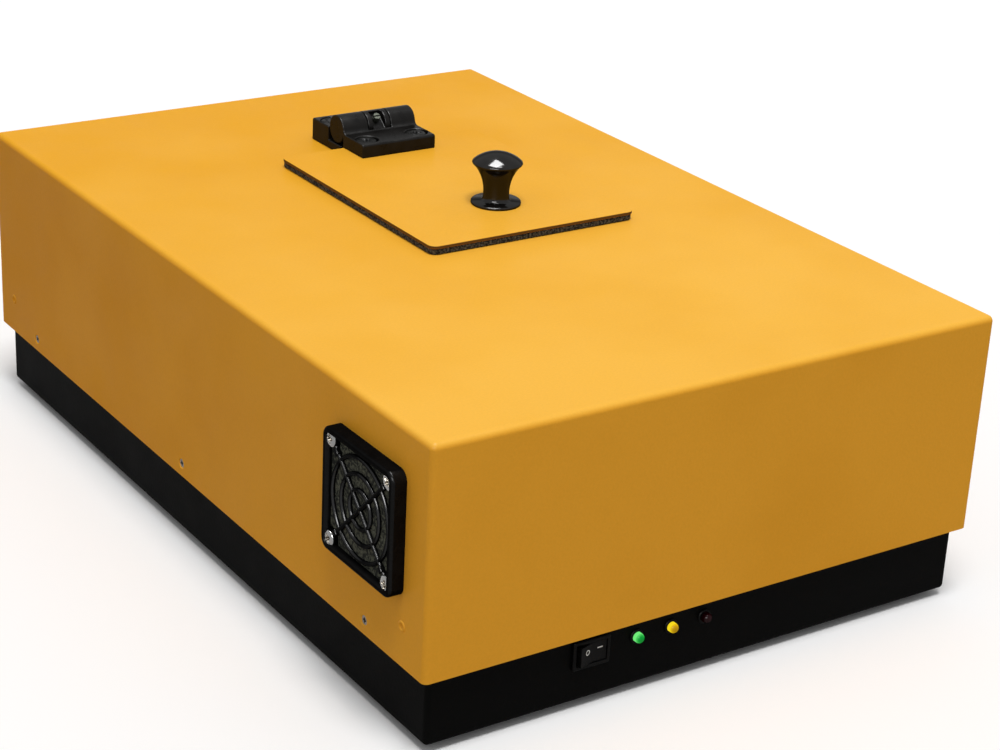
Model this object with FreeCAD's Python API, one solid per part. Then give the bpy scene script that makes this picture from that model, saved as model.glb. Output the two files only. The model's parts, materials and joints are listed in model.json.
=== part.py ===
import FreeCAD, Part
import math
import os

# Near-infrared spectrometer for the laboratory bench, in millimetres, +Z up.
# The front carries the switch and looks along -Y, the fan sits on the -X side.
# Shapes are built about the middle of the case and then shifted sideways, so that
# the origin lies under the middle of the whole instrument, fan guard included.

# Case: orange cover over a black base tray
CASE_W = 324.0
CASE_D = 477.0
COVER_H = 116.0
COVER_SHEET = 2.0
COVER_BEND = 3.0
BASE_INSET = 5.0
BASE_DROP = 36.0
BASE_SHEET = 1.5
BASE_BEND = 2.5
TRAY_RIM_W = 12.0

# Optical plate that the cover is screwed to
PLATE_T = 12.7
PLATE_SIDE_GAP = 0.4
PLATE_CORNER = 3.0
COVER_HANG = 0.6
CABLE_HOLE_R = 14.0
CABLE_HOLE_INSET = 34.0
PLATE_SCREW_INSET = 45.0
PLATE_SCREW_REACH = 9.0

# Feet
FOOT_H = 4.0
FOOT_R = 10.0
FOOT_TAPER = 1.5
FOOT_INSET = 28.0
FOOT_WELL_R = 4.5
FOOT_WELL_DEPTH = 2.6

# Screw sizes, by thread
M3_R = 1.5
M4_R = 2.0
THREAD_CLEAR = 0.05
SCREW_TIP_GAP = 1.0
HOLE_CLEAR = 0.2
PAN3_HEAD_R = 2.9
PAN3_HEAD_H = 1.9
PAN4_HEAD_R = 3.9
PAN4_HEAD_H = 2.5
PAN_CROWN_SHARE = 0.72
FLAT3_HEAD_R = 2.7
FLAT3_HEAD_H = 1.2
NUT4_FLATS = 7.0
NUT4_H = 2.4

# Cover fixings along the sides
SIDE_SCREW_END = 52.5
SIDE_SCREW_REACH = 10.0
RIVET_END = 20.0
RIVET_RISE = 20.0
RIVET_HEAD_R = 3.0
RIVET_SHANK_R = 1.6
RIVET_TAIL_R = 2.6
RIVET_TAIL_H = 1.0

# Sample lid
LID_SHIFT_X = 20.0
LID_SHIFT_Y = 34.0
LID_W = 125.5
LID_L = 161.0
LID_SHEET = 2.0
LID_CORNER = 4.5
GASKET_T = 3.0
GASKET_BAND = 9.0
GASKET_LIFT = 0.1
OPENING_MARGIN = 1.0
OPENING_CORNER = 6.0

# Knob on the lid
KNOB_FROM_FRONT = 40.5
KNOB_FLANGE_R = 12.6
KNOB_FLANGE_H = 1.8
KNOB_NECK_R = 6.9
KNOB_NECK_H = 7.0
KNOB_HEAD_R = 12.8
KNOB_HEAD_H = 21.5
KNOB_LIP = 1.2
KNOB_TOTAL_H = 30.0
KNOB_THREAD_DEPTH = 12.0
KNOB_SPREAD = 0.5
KNOB_FOOT_SLOPE = 3.3
KNOB_HEAD_SLOPE = 1.3

# Torque hinge between lid and cover
HINGE_W = 45.0
HINGE_BACKSET = 8.0
HINGE_AXIS_RISE = 14.0
HINGE_BARREL_R = 8.0
HINGE_KNUCKLE_W = 13.5
HINGE_SIDE_GAP = 0.4
HINGE_SWEEP_GAP = 0.8
HINGE_LEAF_T = 8.0
HINGE_LID_REACH = 30.0
HINGE_LID_TAIL = 7.5
HINGE_COVER_REACH = 28.0
HINGE_COVER_T = 13.0
HINGE_COVER_FACE = 9.0
HINGE_TOE = 5.0
HINGE_TOE_T = 5.0
HINGE_CROOK_R = 3.0
HINGE_EDGE_R = 1.5
HINGE_PIN_R = 2.5
HINGE_RUN = 0.05
HINGE_BLIND_WALL = 2.0
HINGE_SCREW_X = 15.4
HINGE_LID_SCREW_Y = 21.5
HINGE_COVER_SCREW_Y = 18.5
HINGE_CUP_R = 6.3
HINGE_CUP_DEPTH = 3.2
HINGE_NOTCH_W = 7.5
HINGE_NOTCH_FLOOR = 4.2
TORQUE_SCREW_R = 2.1
TORQUE_SCREW_TILT = 38.0

# Fan, 60 mm frame, and its guard
FAN_FROM_FRONT = 50.0
FAN_RISE = 65.0
FAN_PITCH = 50.0
FAN_SCREW_INSET = 5.0
FAN_DEPTH = 25.0
FAN_CORNER = 4.0
FAN_FLANGE_T = 4.0
FAN_BORE_EDGE = 1.5
FAN_DUCT_WALL = 1.2
FAN_STRUTS = 4
FAN_STRUT_W = 3.0
FAN_STRUT_T = 2.5
FAN_STRUT_TURN = 15.0
FAN_DISC_R = 14.0
FAN_BLADES = 7
BLADE_TIP_GAP = 1.1
BLADE_T = 1.2
BLADE_ROOT_CHORD = 14.0
BLADE_TIP_CHORD = 19.0
BLADE_ROOT_PITCH = 58.0
BLADE_TIP_PITCH = 38.0
BLADE_CAMBER = 1.6
HUB_R = 14.0
HUB_WALL = 1.3
HUB_START = 3.6
HUB_L = 17.0
HUB_ROUND = 1.5
HUB_FACE_T = 1.8
CORE_R = 11.8
CORE_L = 14.0
CORE_SLOTS = 4
CORE_SLOT_W = 2.4
CORE_SLOT_START = 6.5
CORE_BACK_T = 2.0
SHAFT_R = 1.5
SHAFT_BED = 0.5
SHAFT_END_GAP = 0.4
GUARD_MARGIN = 1.25
GUARD_CORNER = 5.5
GUARD_T = 6.5
GUARD_WALL = 2.0
GUARD_LIP_T = 1.3
GUARD_LIP_W = 4.8
GUARD_EDGE_R = 0.8
GUARD_PAD_R = 5.0
GUARD_PAD_H = 5.3
RING_RADII = (24.5, 16.6, 9.2)
RING_W = 1.6
RING_T = 1.6
SPOKE_W = 2.4
SPOKE_T = 2.0
SPOKE_END_GAP = 1.0
GUARD_SINK = 0.3
NUB_W = 3.0
NUB_H = 0.7
NUB_FROM_SCREW = 6.95
FOAM_T = 3.0
FOAM_SIDE_GAP = 0.3

# Power switch, turned on its side
SWITCH_FROM_LEFT = 93.5
SWITCH_DROP = 11.0
BEZEL_W = 21.0
BEZEL_H = 15.0
BEZEL_T = 2.0
BEZEL_CORNER = 1.0
SWITCH_BODY_W = 19.2
SWITCH_BODY_H = 12.8
SWITCH_BODY_L = 15.0
ROCKER_W = 16.2
ROCKER_H = 10.4
ROCKER_GAP = 0.5
ROCKER_TILT = 9.0
ROCKER_LOW = 1.5
ROCKER_KEEL = 5.0
ROCKER_KEEL_W = 5.0
ROCKER_CAVITY = 7.5
TRUNNION_R = 1.2
TRUNNION_L = 0.9
TRUNNION_END_GAP = 0.15
TAB_W = 4.8
TAB_T = 0.8
TAB_L = 7.0
TAB_PITCH = 7.0

# Indicator lamps
LED_FROM_LEFT = 120.0
LED_PITCH = 20.0
LED_COLOURS = ("green", "yellow", "red")
LED_DROP = 10.0
LED_R = 2.5
LED_RIM_R = 2.9
LED_RIM_T = 1.0
LED_BODY_L = 6.0
LED_SHOW = 1.2
HOLDER_FLANGE_R = 3.8
HOLDER_FLANGE_T = 1.0
HOLDER_SLEEVE_R = 3.2
HOLDER_SLEEVE_L = 6.0
LED_BOARD_W = 54.0
LED_BOARD_H = 12.0
LED_HEADER_W = 12.0
LED_HEADER_H = 6.0
LED_HEADER_D = 4.5
BOARD_T = 1.6

# Mains inlet and data port in the back wall
INLET_FROM_LEFT = 57.0
INLET_RISE = 18.5
INLET_FLANGE_W = 50.0
INLET_FLANGE_H = 24.0
INLET_FLANGE_T = 3.0
INLET_FLANGE_CORNER = 4.0
INLET_BODY_W = 28.0
INLET_BODY_H = 20.0
INLET_BODY_L = 20.0
INLET_MOUTH_W = 24.5
INLET_MOUTH_H = 16.5
INLET_MOUTH_CUT = 4.5
INLET_MOUTH_DEPTH = 17.0
INLET_SCREW_PITCH = 40.0
PIN_W = 2.0
PIN_H = 4.0
PIN_L = 11.0
PIN_PITCH = 14.0
PIN_EARTH_RISE = 4.0
CUTOUT_GAP = 0.2
PORT_FROM_RIGHT = 97.0
PORT_W = 12.0
PORT_H = 11.0
PORT_L = 16.0
PORT_WALL = 0.8
PORT_DEPTH = 9.0
PORT_TONGUE_W = 5.6
PORT_TONGUE_H = 3.2
PORT_PROUD = 0.8

# Sample well and cuvette holder
WELL_SHEET = 1.5
WELL_GAP = 0.75
WELL_FLANGE_W = 8.0
WELL_TOP_GAP = 0.3
WELL_CORNER = 7.5
BEAM_RISE = 45.0
PORT_LASER_R = 8.0
PORT_COLLECT_R = 13.0
PORT_LAMP_R = 10.0
PORT_VISIBLE_R = 6.0
WELL_SCREW_INSET = 12.0
CUVETTE_SIDE = 12.5
CUVETTE_CLEAR = 0.15
HOLDER_SIDE = 34.0
HOLDER_H = 70.0
HOLDER_WELL_DEPTH = 42.0
HOLDER_BASE_SIDE = 54.0
HOLDER_BASE_T = 8.0
HOLDER_WINDOW_R = 4.5
HOLDER_EDGE = 2.0

# Lid interlock
MAGNET_R = 4.0
MAGNET_T = 2.0
MAGNET_FROM_BAND = 6.0
SENSOR_W = 22.0
SENSOR_D = 6.0
SENSOR_H = 9.0
SENSOR_DROP = 2.0
SENSOR_EDGE = 1.0

# Laser modules and beam combiner
LASER_SIDE = 30.0
LASER_END_GAP = 21.5
LASER_CORNER = 3.0
LASER_SNOUT_R = 7.0
LASER_SNOUT_L = 4.0
LASER_BORE_R = 3.0
LASER_BORE_DEPTH = 12.0
LASER_PITCH = 36.0
LASER_FIRST_GAP = 31.25
LASER_SIDE_START = 50.0
MOUNT_END = 14.0
MOUNT_WAIST = 22.0
MOUNT_FOOT_T = 6.0
COMBINER_W = 32.0
COMBINER_MARGIN = 17.0
COMBINER_POST_T = 3.0
COMBINER_POST_W = 28.8
DICHROIC_R = 10.0
DICHROIC_T = 2.0
COMBINER_WINDOW_R = 7.0

# Near-infrared spectrograph
SPECTRO_SIDE_GAP = 8.0
SPECTRO_FRONT = -42.0
SPECTRO_L = 196.0
SPECTRO_H = 84.0
SPECTRO_WALL = 6.0
SPECTRO_LID_T = 4.0
SPECTRO_CORNER = 8.0
TUBE_WALL = 2.2
COLLECT_TUBE_L = 15.0
COLLECT_LENS_R = 12.7
COLLECT_LENS_T = 7.0
LENS_EDGE_T = 2.4
SLIT_T = 2.0
SLIT_W = 1.0
SLIT_H = 8.0
DETECTOR_PORT_R = 12.0
DETECTOR_WINDOW_R = 9.5
MIRROR_R = 18.0
FOLD_R = 13.0
MIRROR_TOE = 6.0
MIRROR_T = 6.0
MIRROR_BACK_T = 5.0
MIRROR_POST_SHARE = 0.7
FOLD_SHARE = 2 / 3
COLLIMATOR_Y = 160.0
GRATING_SIDE = 30.0
GRATING_T = 8.0
GRATING_Y = 38.0
GRATING_HEADING = 100.0
GRATING_TABLE_T = 4.0
DISPERSED_X = 26.0
DETECTOR_W = 60.0
DETECTOR_L = 52.0
DETECTOR_H = 62.0
DETECTOR_CORNER = 5.0
SINK_L = 30.0
SINK_BASE_T = 5.0
SINK_FINS = 9
SINK_FIN_T = 1.8

# Halogen lamp and condenser
LAMP_TUBE_L = 17.0
LAMP_SIDE_GAP = 14.0
LAMP_L = 58.0
LAMP_H = 78.0
LAMP_WALL = 3.0
LAMP_SLOTS = 5
LAMP_SLOT_W = 4.0
LAMP_SLOT_END = 9.0
LAMP_SLOT_PITCH = 9.0
CONDENSER_R = 9.0
CONDENSER_T = 5.0
SOCKET_R = 8.0
BULB_R = 5.0
BULB_L = 20.0

# Visible spectrometer
VISIBLE_W = 88.0
VISIBLE_L = 60.0
VISIBLE_H = 36.0
VISIBLE_CORNER = 3.0
VISIBLE_GAP = 18.0
VISIBLE_TUBE_R = 8.0
VISIBLE_BORE_END = 2.0
BRACKET_T = 3.0

# Electronics in the base tray
SUPPLY_SIDE_GAP = 14.5
SUPPLY_Y = 77.0
SUPPLY_W = 98.0
SUPPLY_L = 129.0
SUPPLY_H = 28.0
SUPPLY_SHEET = 1.2
SUPPLY_VENT_R = 2.5
SUPPLY_VENT_PITCH = 14.0
SUPPLY_VENT_COLUMNS = 4
SUPPLY_VENT_ROWS = 5
BOARD_L = 110.0
BOARD_SIDE_GAP = 25.5
BOARD_SUPPLY_GAP = 23.0
BOARD_BACK_GAP = 4.0
SPACER_H = 7.0
SPACER_R = 3.0
SPACER_INSET = 6.0
CHIPS = 3
CHIP_T = 2.2
HEADER_GAP = 7.5
HEADER_H = 9.0
HEADER_INSET = 4.0

# Mains lead held inside the tray
LEAD_R = 3.0
LEAD_LIFT = 0.1
LEAD_LANE = 8.0
LEAD_INLET_RUN = 31.0
LEAD_INLET_REACH = 71.0
LEAD_SWITCH_RUN = 36.0
LEAD_SWITCH_REACH = 112.0
LEAD_RUNS = 3
LEAD_SWAY = 1.5
LEAD_ARC_SHARE = 0.45

# Vent slots in the tray floor
VENT_COUNT = 8
VENT_PITCH = 10.0
VENT_L = 44.0
VENT_W = 4.0
VENT_END_R = 1.99

# Places worked out from the sizes
SCREW_HEAD_PROUD = GUARD_PAD_H + PAN4_HEAD_H
CASE_SHIFT = max(SCREW_HEAD_PROUD, GUARD_T) / 2
LEFT = -CASE_W / 2
RIGHT = CASE_W / 2
FRONT = -CASE_D / 2
BACK = CASE_D / 2
TRAY_Z = FOOT_H
COVER_Z = TRAY_Z + BASE_DROP
PLATE_Z = COVER_Z + COVER_HANG
PLATE_TOP = PLATE_Z + PLATE_T
TOP_Z = COVER_Z + COVER_H
CEILING_Z = TOP_Z - COVER_SHEET
LEFT_IN = LEFT + COVER_SHEET
TRAY_LEFT = LEFT + BASE_INSET
TRAY_RIGHT = RIGHT - BASE_INSET
TRAY_FRONT = FRONT + BASE_INSET
TRAY_BACK = BACK - BASE_INSET
TRAY_FLOOR = TRAY_Z + BASE_SHEET
BEAM_Z = PLATE_TOP + BEAM_RISE
LID_FRONT = LID_SHIFT_Y - LID_L / 2
LID_BACK = LID_SHIFT_Y + LID_L / 2
LID_UNDER = TOP_Z + GASKET_LIFT + GASKET_T
LID_TOP = LID_UNDER + LID_SHEET
OPENING_W = LID_W - 2 * GASKET_BAND - 2 * OPENING_MARGIN
OPENING_L = LID_L - 2 * GASKET_BAND - 2 * OPENING_MARGIN
KNOB_Y = LID_FRONT + KNOB_FROM_FRONT
HINGE_Y = LID_BACK + HINGE_BACKSET
HINGE_Z = TOP_Z + HINGE_AXIS_RISE
FAN_SIZE = FAN_PITCH + 2 * FAN_SCREW_INSET
FAN_BORE_R = FAN_SIZE / 2 - FAN_BORE_EDGE
GUARD_SIZE = FAN_SIZE + 2 * GUARD_MARGIN
FAN_Y = FRONT + FAN_FROM_FRONT
FAN_Z = COVER_Z + FAN_RISE
SWITCH_X = LEFT + SWITCH_FROM_LEFT
SWITCH_Z = COVER_Z - SWITCH_DROP
LED_Z = COVER_Z - LED_DROP
LED_XS = tuple(LEFT + LED_FROM_LEFT + i * LED_PITCH for i in range(len(LED_COLOURS)))
INLET_X = TRAY_LEFT + INLET_FROM_LEFT
INLET_Z = TRAY_Z + INLET_RISE
PORT_X = TRAY_RIGHT - PORT_FROM_RIGHT
WELL_IN_W = OPENING_W + 2 * WELL_GAP
WELL_IN_L = OPENING_L + 2 * WELL_GAP
WELL_OUT_W = WELL_IN_W + 2 * WELL_SHEET
WELL_OUT_L = WELL_IN_L + 2 * WELL_SHEET
WELL_LEFT = LID_SHIFT_X - WELL_OUT_W / 2
WELL_RIGHT = LID_SHIFT_X + WELL_OUT_W / 2
WELL_FRONT = LID_SHIFT_Y - WELL_OUT_L / 2
WELL_BACK = LID_SHIFT_Y + WELL_OUT_L / 2
WELL_TOP = CEILING_Z - WELL_TOP_GAP
WELL_FLOOR = PLATE_TOP + WELL_SHEET
SPECTRO_LEFT = LEFT_IN + SPECTRO_SIDE_GAP
SPECTRO_RIGHT = WELL_LEFT - COLLECT_TUBE_L
SPECTRO_W = SPECTRO_RIGHT - SPECTRO_LEFT
FOLD_X = SPECTRO_RIGHT - SPECTRO_W * FOLD_SHARE
DISPERSED_LINE_X = SPECTRO_RIGHT - DISPERSED_X
LASER_FIRST_Y = WELL_FRONT - LASER_FIRST_GAP
LASER_FRONT_Y = LASER_FIRST_Y - LASER_PITCH - COMBINER_MARGIN - LASER_SNOUT_L
LASER_L = LASER_FRONT_Y - (FRONT + COVER_SHEET + LASER_END_GAP)
LAMP_LEFT = WELL_RIGHT + LAMP_TUBE_L
LAMP_RIGHT = RIGHT - COVER_SHEET - LAMP_SIDE_GAP
SUPPLY_LEFT = TRAY_LEFT + BASE_SHEET + SUPPLY_SIDE_GAP
SUPPLY_X = SUPPLY_LEFT + SUPPLY_W / 2
SIDE_SCREW_YS = (FRONT + SIDE_SCREW_END, 0.0, BACK - SIDE_SCREW_END)
SIDE_SCREW_Z = PLATE_Z + PLATE_T / 2
RIVET_YS = (FRONT + RIVET_END, BACK - RIVET_END)
RIVET_Z = COVER_Z + RIVET_RISE

X_AXIS = FreeCAD.Vector(1, 0, 0)
Y_AXIS = FreeCAD.Vector(0, 1, 0)
Z_AXIS = FreeCAD.Vector(0, 0, 1)


# Helpers for shapes
def at(x, y, z):
    return FreeCAD.Vector(x, y, z)


def block(x0, x1, y0, y1, z0, z1):
    return Part.makeBox(x1 - x0, y1 - y0, z1 - z0, at(x0, y0, z0))


def centred_block(x, y, width, length, z0, z1):
    return block(x - width / 2, x + width / 2, y - length / 2, y + length / 2, z0, z1)


def rod(start, direction, radius, length):
    return Part.makeCylinder(radius, length, start, direction)


def tube(start, direction, outer_r, inner_r, length):
    return rod(start, direction, outer_r, length).cut(rod(start, direction, inner_r, length))


def joined(shapes):
    return shapes[0].multiFuse(shapes[1:]).removeSplitter() if len(shapes) > 1 else shapes[0]


def drilled(shape, tools):
    return shape.cut(Part.makeCompound(tools))


def rounded(shape, radius, pick):
    edges = [edge for edge in shape.Edges if pick(edge)]
    return shape.makeFillet(radius, edges)


def is_upright(edge):
    ends = [vertex.Point for vertex in edge.Vertexes]
    return len(ends) == 2 and abs(ends[0].z - ends[1].z) > 0.9 * edge.Length


def is_level_at(height):
    def pick(edge):
        return all(abs(vertex.Point.z - height) < 1e-6 for vertex in edge.Vertexes)
    return pick


def slab(x0, x1, y0, y1, z0, z1, radius):
    return rounded(block(x0, x1, y0, y1, z0, z1), radius, is_upright)


def centred_slab(x, y, width, length, z0, z1, radius):
    return slab(x - width / 2, x + width / 2, y - length / 2, y + length / 2, z0, z1, radius)


def prism(points, travel):
    wire = Part.makePolygon(points + [points[0]])
    return Part.Face(wire).extrude(travel)


def placed(shape, start, direction):
    # Moves a shape built along +Z to a seat and points it the given way
    turn = FreeCAD.Rotation(Z_AXIS, direction)
    shape = shape.copy()
    shape.Placement = FreeCAD.Placement(start, turn).multiply(shape.Placement)
    return shape


def corners(half_x, half_y):
    return [(sx * half_x, sy * half_y) for sx in (-1, 1) for sy in (-1, 1)]


def pan_screw(seat, direction, shank_r, head_r, head_h, length):
    # The head rises behind the seat, the shank runs on in the given direction
    half = head_h / 2
    head = Part.makeCone(head_r, head_r * PAN_CROWN_SHARE, half, at(0, 0, -half), Z_AXIS * -1)
    collar = Part.makeCylinder(head_r, half, at(0, 0, -half))
    shank = Part.makeCylinder(shank_r, length)
    return placed(joined([head, collar, shank]), seat, direction)


def flat_screw(seat, direction, shank_r, head_r, head_h, length):
    head = Part.makeCone(head_r, shank_r, head_h)
    shank = Part.makeCylinder(shank_r, length)
    return placed(joined([head, shank]), seat, direction)


def flat_screw_hole(seat, direction, shank_r, head_r, head_h, depth):
    gap = HOLE_CLEAR / 2
    head = Part.makeCone(head_r + gap, shank_r + gap, head_h)
    shank = Part.makeCylinder(shank_r + gap, depth)
    return placed(joined([head, shank]), seat, direction)


def hex_nut(seat, direction, flats, height, bore_r):
    # Flats face along X and the nut grows from its seat in the given direction
    reach = flats / math.sqrt(3)
    ring = [at(reach * math.sin(math.radians(60 * i)), reach * math.cos(math.radians(60 * i)), 0)
            for i in range(6)]
    nut = prism(ring, at(0, 0, height)).cut(Part.makeCylinder(bore_r, height))
    return placed(nut, seat, direction)


# Case
def base_tray():
    outer = block(TRAY_LEFT, TRAY_RIGHT, TRAY_FRONT, TRAY_BACK, TRAY_Z, PLATE_Z)
    outer = rounded(outer, BASE_BEND, lambda edge: is_upright(edge) or is_level_at(TRAY_Z)(edge))
    wall = BASE_SHEET
    inner = block(TRAY_LEFT + wall, TRAY_RIGHT - wall, TRAY_FRONT + wall, TRAY_BACK - wall,
                  TRAY_FLOOR, PLATE_Z - wall)
    inner_bend = BASE_BEND - wall
    inner = rounded(inner, inner_bend, lambda edge: is_upright(edge) or is_level_at(TRAY_FLOOR)(edge))
    rim = wall + TRAY_RIM_W
    mouth = block(TRAY_LEFT + rim, TRAY_RIGHT - rim, TRAY_FRONT + rim, TRAY_BACK - rim,
                  PLATE_Z - 2 * wall, PLATE_Z + wall)
    tray = outer.cut(inner).cut(mouth)
    through = 3 * wall
    gap = CUTOUT_GAP
    tools = [block(SWITCH_X - SWITCH_BODY_W / 2 - gap, SWITCH_X + SWITCH_BODY_W / 2 + gap,
                   TRAY_FRONT - wall, TRAY_FRONT + through - wall,
                   SWITCH_Z - SWITCH_BODY_H / 2 - gap, SWITCH_Z + SWITCH_BODY_H / 2 + gap)]
    for x in LED_XS:
        tools.append(rod(at(x, TRAY_FRONT - wall, LED_Z), Y_AXIS, HOLDER_SLEEVE_R + gap, through))
    tools.append(block(INLET_X - INLET_BODY_W / 2 - gap, INLET_X + INLET_BODY_W / 2 + gap,
                       TRAY_BACK - through + wall, TRAY_BACK + wall,
                       INLET_Z - INLET_BODY_H / 2 - gap, INLET_Z + INLET_BODY_H / 2 + gap))
    port_z = port_centre_z()
    tools.append(block(PORT_X - PORT_W / 2 - gap, PORT_X + PORT_W / 2 + gap,
                       TRAY_BACK - through + wall, TRAY_BACK + wall,
                       port_z - PORT_H / 2 - gap, port_z + PORT_H / 2 + gap))
    for sx in (-1, 1):
        seat = at(INLET_X + sx * INLET_SCREW_PITCH / 2, TRAY_BACK + wall, INLET_Z)
        tools.append(rod(seat, Y_AXIS * -1, M3_R + THREAD_CLEAR, through))
    for x, y in foot_places():
        tools.append(rod(at(x, y, TRAY_Z - wall), Z_AXIS, M3_R + THREAD_CLEAR, through))
    for x, y in plate_screw_places():
        tools.append(rod(at(x, y, PLATE_Z - 2 * wall), Z_AXIS, M4_R + HOLE_CLEAR, through))
    for i in range(VENT_COUNT):
        y = (i - (VENT_COUNT - 1) / 2) * VENT_PITCH
        tools.append(slab(-VENT_L / 2, VENT_L / 2, y - VENT_W / 2, y + VENT_W / 2,
                          TRAY_Z - wall, TRAY_FLOOR + wall, VENT_END_R))
    return joined([drilled(tray, tools)] + board_spacers())


def foot_places():
    return corners(CASE_W / 2 - FOOT_INSET, CASE_D / 2 - FOOT_INSET)


def rubber_feet():
    feet = []
    for x, y in foot_places():
        foot = Part.makeCone(FOOT_R - FOOT_TAPER, FOOT_R, FOOT_H, at(x, y, 0))
        well = rod(at(x, y, 0), Z_AXIS, FOOT_WELL_R, FOOT_WELL_DEPTH)
        hole = rod(at(x, y, 0), Z_AXIS, M3_R + HOLE_CLEAR, FOOT_H)
        feet.append(drilled(foot, [well, hole]))
    return Part.makeCompound(feet)


def feet_screws():
    reach = FOOT_H - FOOT_WELL_DEPTH + BASE_SHEET + 2 * M3_R
    return Part.makeCompound([
        pan_screw(at(x, y, FOOT_WELL_DEPTH), Z_AXIS, M3_R, PAN3_HEAD_R, PAN3_HEAD_H, reach)
        for x, y in foot_places()])


def plate_screw_places():
    x = CASE_W / 2 - BASE_INSET - BASE_SHEET - TRAY_RIM_W / 2
    y = CASE_D / 2 - BASE_INSET - BASE_SHEET - TRAY_RIM_W / 2
    sides = corners(x, CASE_D / 2 - PLATE_SCREW_INSET)
    ends = corners(CASE_W / 2 - PLATE_SCREW_INSET, y)
    return sides + ends


def plate_screws():
    # From below through the tray rim, and from above through the floor of the sample well
    rim_z = PLATE_Z - BASE_SHEET
    length = BASE_SHEET + PLATE_SCREW_REACH
    screws = [pan_screw(at(x, y, rim_z), Z_AXIS, M4_R, PAN4_HEAD_R, PAN4_HEAD_H, length)
              for x, y in plate_screw_places()]
    screws += [pan_screw(at(x, y, WELL_FLOOR), Z_AXIS * -1, M4_R, PAN4_HEAD_R, PAN4_HEAD_H, length)
               for x, y in well_screw_places()]
    return Part.makeCompound(screws)


def well_screw_places():
    half_x = WELL_IN_W / 2 - WELL_SCREW_INSET
    half_y = WELL_IN_L / 2 - WELL_SCREW_INSET
    return [(LID_SHIFT_X + x, LID_SHIFT_Y + y) for x, y in corners(half_x, half_y)]


def optical_plate():
    half_x = CASE_W / 2 - COVER_SHEET - PLATE_SIDE_GAP
    half_y = CASE_D / 2 - COVER_SHEET - PLATE_SIDE_GAP
    plate = slab(-half_x, half_x, -half_y, half_y, PLATE_Z, PLATE_TOP, PLATE_CORNER)
    tools = []
    for y in SIDE_SCREW_YS:
        for side in (-1, 1):
            edge = at(side * half_x, y, SIDE_SCREW_Z)
            tools.append(rod(edge, X_AXIS * -side, M3_R + THREAD_CLEAR, SIDE_SCREW_REACH))
    for x, y in plate_screw_places():
        tools.append(rod(at(x, y, PLATE_Z), Z_AXIS, M4_R + THREAD_CLEAR,
                         PLATE_SCREW_REACH + SCREW_TIP_GAP))
    for x, y in well_screw_places():
        tools.append(rod(at(x, y, PLATE_TOP), Z_AXIS * -1, M4_R + THREAD_CLEAR, PLATE_T))
    for x, y in corners(CASE_W / 2 - CABLE_HOLE_INSET, CASE_D / 2 - CABLE_HOLE_INSET):
        if y > 0 or x > 0:
            tools.append(rod(at(x, y, PLATE_Z), Z_AXIS, CABLE_HOLE_R, PLATE_T))
    return drilled(plate, tools)


def hinge_places(offset_y):
    return [(LID_SHIFT_X + side * HINGE_SCREW_X, HINGE_Y + offset_y) for side in (-1, 1)]


def instrument_cover():
    outer = block(LEFT, RIGHT, FRONT, BACK, COVER_Z, TOP_Z)
    outer = rounded(outer, COVER_BEND, lambda edge: is_upright(edge) or is_level_at(TOP_Z)(edge))
    wall = COVER_SHEET
    inner = block(LEFT + wall, RIGHT - wall, FRONT + wall, BACK - wall, COVER_Z, CEILING_Z)
    inner_bend = COVER_BEND - wall
    inner = rounded(inner, inner_bend, lambda edge: is_upright(edge) or is_level_at(CEILING_Z)(edge))
    cover = outer.cut(inner)
    through = 3 * wall
    tools = [centred_slab(LID_SHIFT_X, LID_SHIFT_Y, OPENING_W, OPENING_L,
                          CEILING_Z - wall, TOP_Z + wall, OPENING_CORNER)]
    tools.append(rod(at(LEFT - wall, FAN_Y, FAN_Z), X_AXIS, FAN_BORE_R, through))
    for y, z in corners(FAN_PITCH / 2, FAN_PITCH / 2):
        tools.append(rod(at(LEFT - wall, FAN_Y + y, FAN_Z + z), X_AXIS, M4_R + HOLE_CLEAR, through))
    for y in SIDE_SCREW_YS:
        for side in (-1, 1):
            seat = at(side * CASE_W / 2, y, SIDE_SCREW_Z)
            tools.append(flat_screw_hole(seat, X_AXIS * -side, M3_R, FLAT3_HEAD_R,
                                         FLAT3_HEAD_H, through))
    for y in RIVET_YS:
        for side in (-1, 1):
            seat = at(side * CASE_W / 2, y, RIVET_Z)
            tools.append(flat_screw_hole(seat, X_AXIS * -side, RIVET_SHANK_R, RIVET_HEAD_R,
                                         RIVET_HEAD_R - RIVET_SHANK_R, through))
    for x, y in hinge_places(HINGE_COVER_SCREW_Y):
        tools.append(rod(at(x, y, CEILING_Z - wall), Z_AXIS, M4_R + HOLE_CLEAR, through))
    return drilled(cover, tools)


def flat_screws():
    # Along both sides of the cover, and two in the flange of the mains inlet
    length = COVER_SHEET + SIDE_SCREW_REACH - SCREW_TIP_GAP
    inlet_y = TRAY_BACK + INLET_FLANGE_T
    screws = [flat_screw(at(INLET_X + side * INLET_SCREW_PITCH / 2, inlet_y, INLET_Z), Y_AXIS * -1,
                         M3_R, FLAT3_HEAD_R, FLAT3_HEAD_H, length) for side in (-1, 1)]
    for y in SIDE_SCREW_YS:
        for side in (-1, 1):
            seat = at(side * CASE_W / 2, y, SIDE_SCREW_Z)
            screws.append(flat_screw(seat, X_AXIS * -side, M3_R, FLAT3_HEAD_R, FLAT3_HEAD_H,
                                     length))
    return Part.makeCompound(screws)


def cover_rivets():
    rivets = []
    for y in RIVET_YS:
        for side in (-1, 1):
            body = flat_screw(at(0, 0, 0), Z_AXIS, RIVET_SHANK_R, RIVET_HEAD_R,
                              RIVET_HEAD_R - RIVET_SHANK_R, COVER_SHEET + RIVET_TAIL_H)
            tail = Part.makeCylinder(RIVET_TAIL_R, RIVET_TAIL_H, at(0, 0, COVER_SHEET))
            seat = at(side * CASE_W / 2, y, RIVET_Z)
            rivets.append(placed(joined([body, tail]), seat, X_AXIS * -side))
    return Part.makeCompound(rivets)


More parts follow.
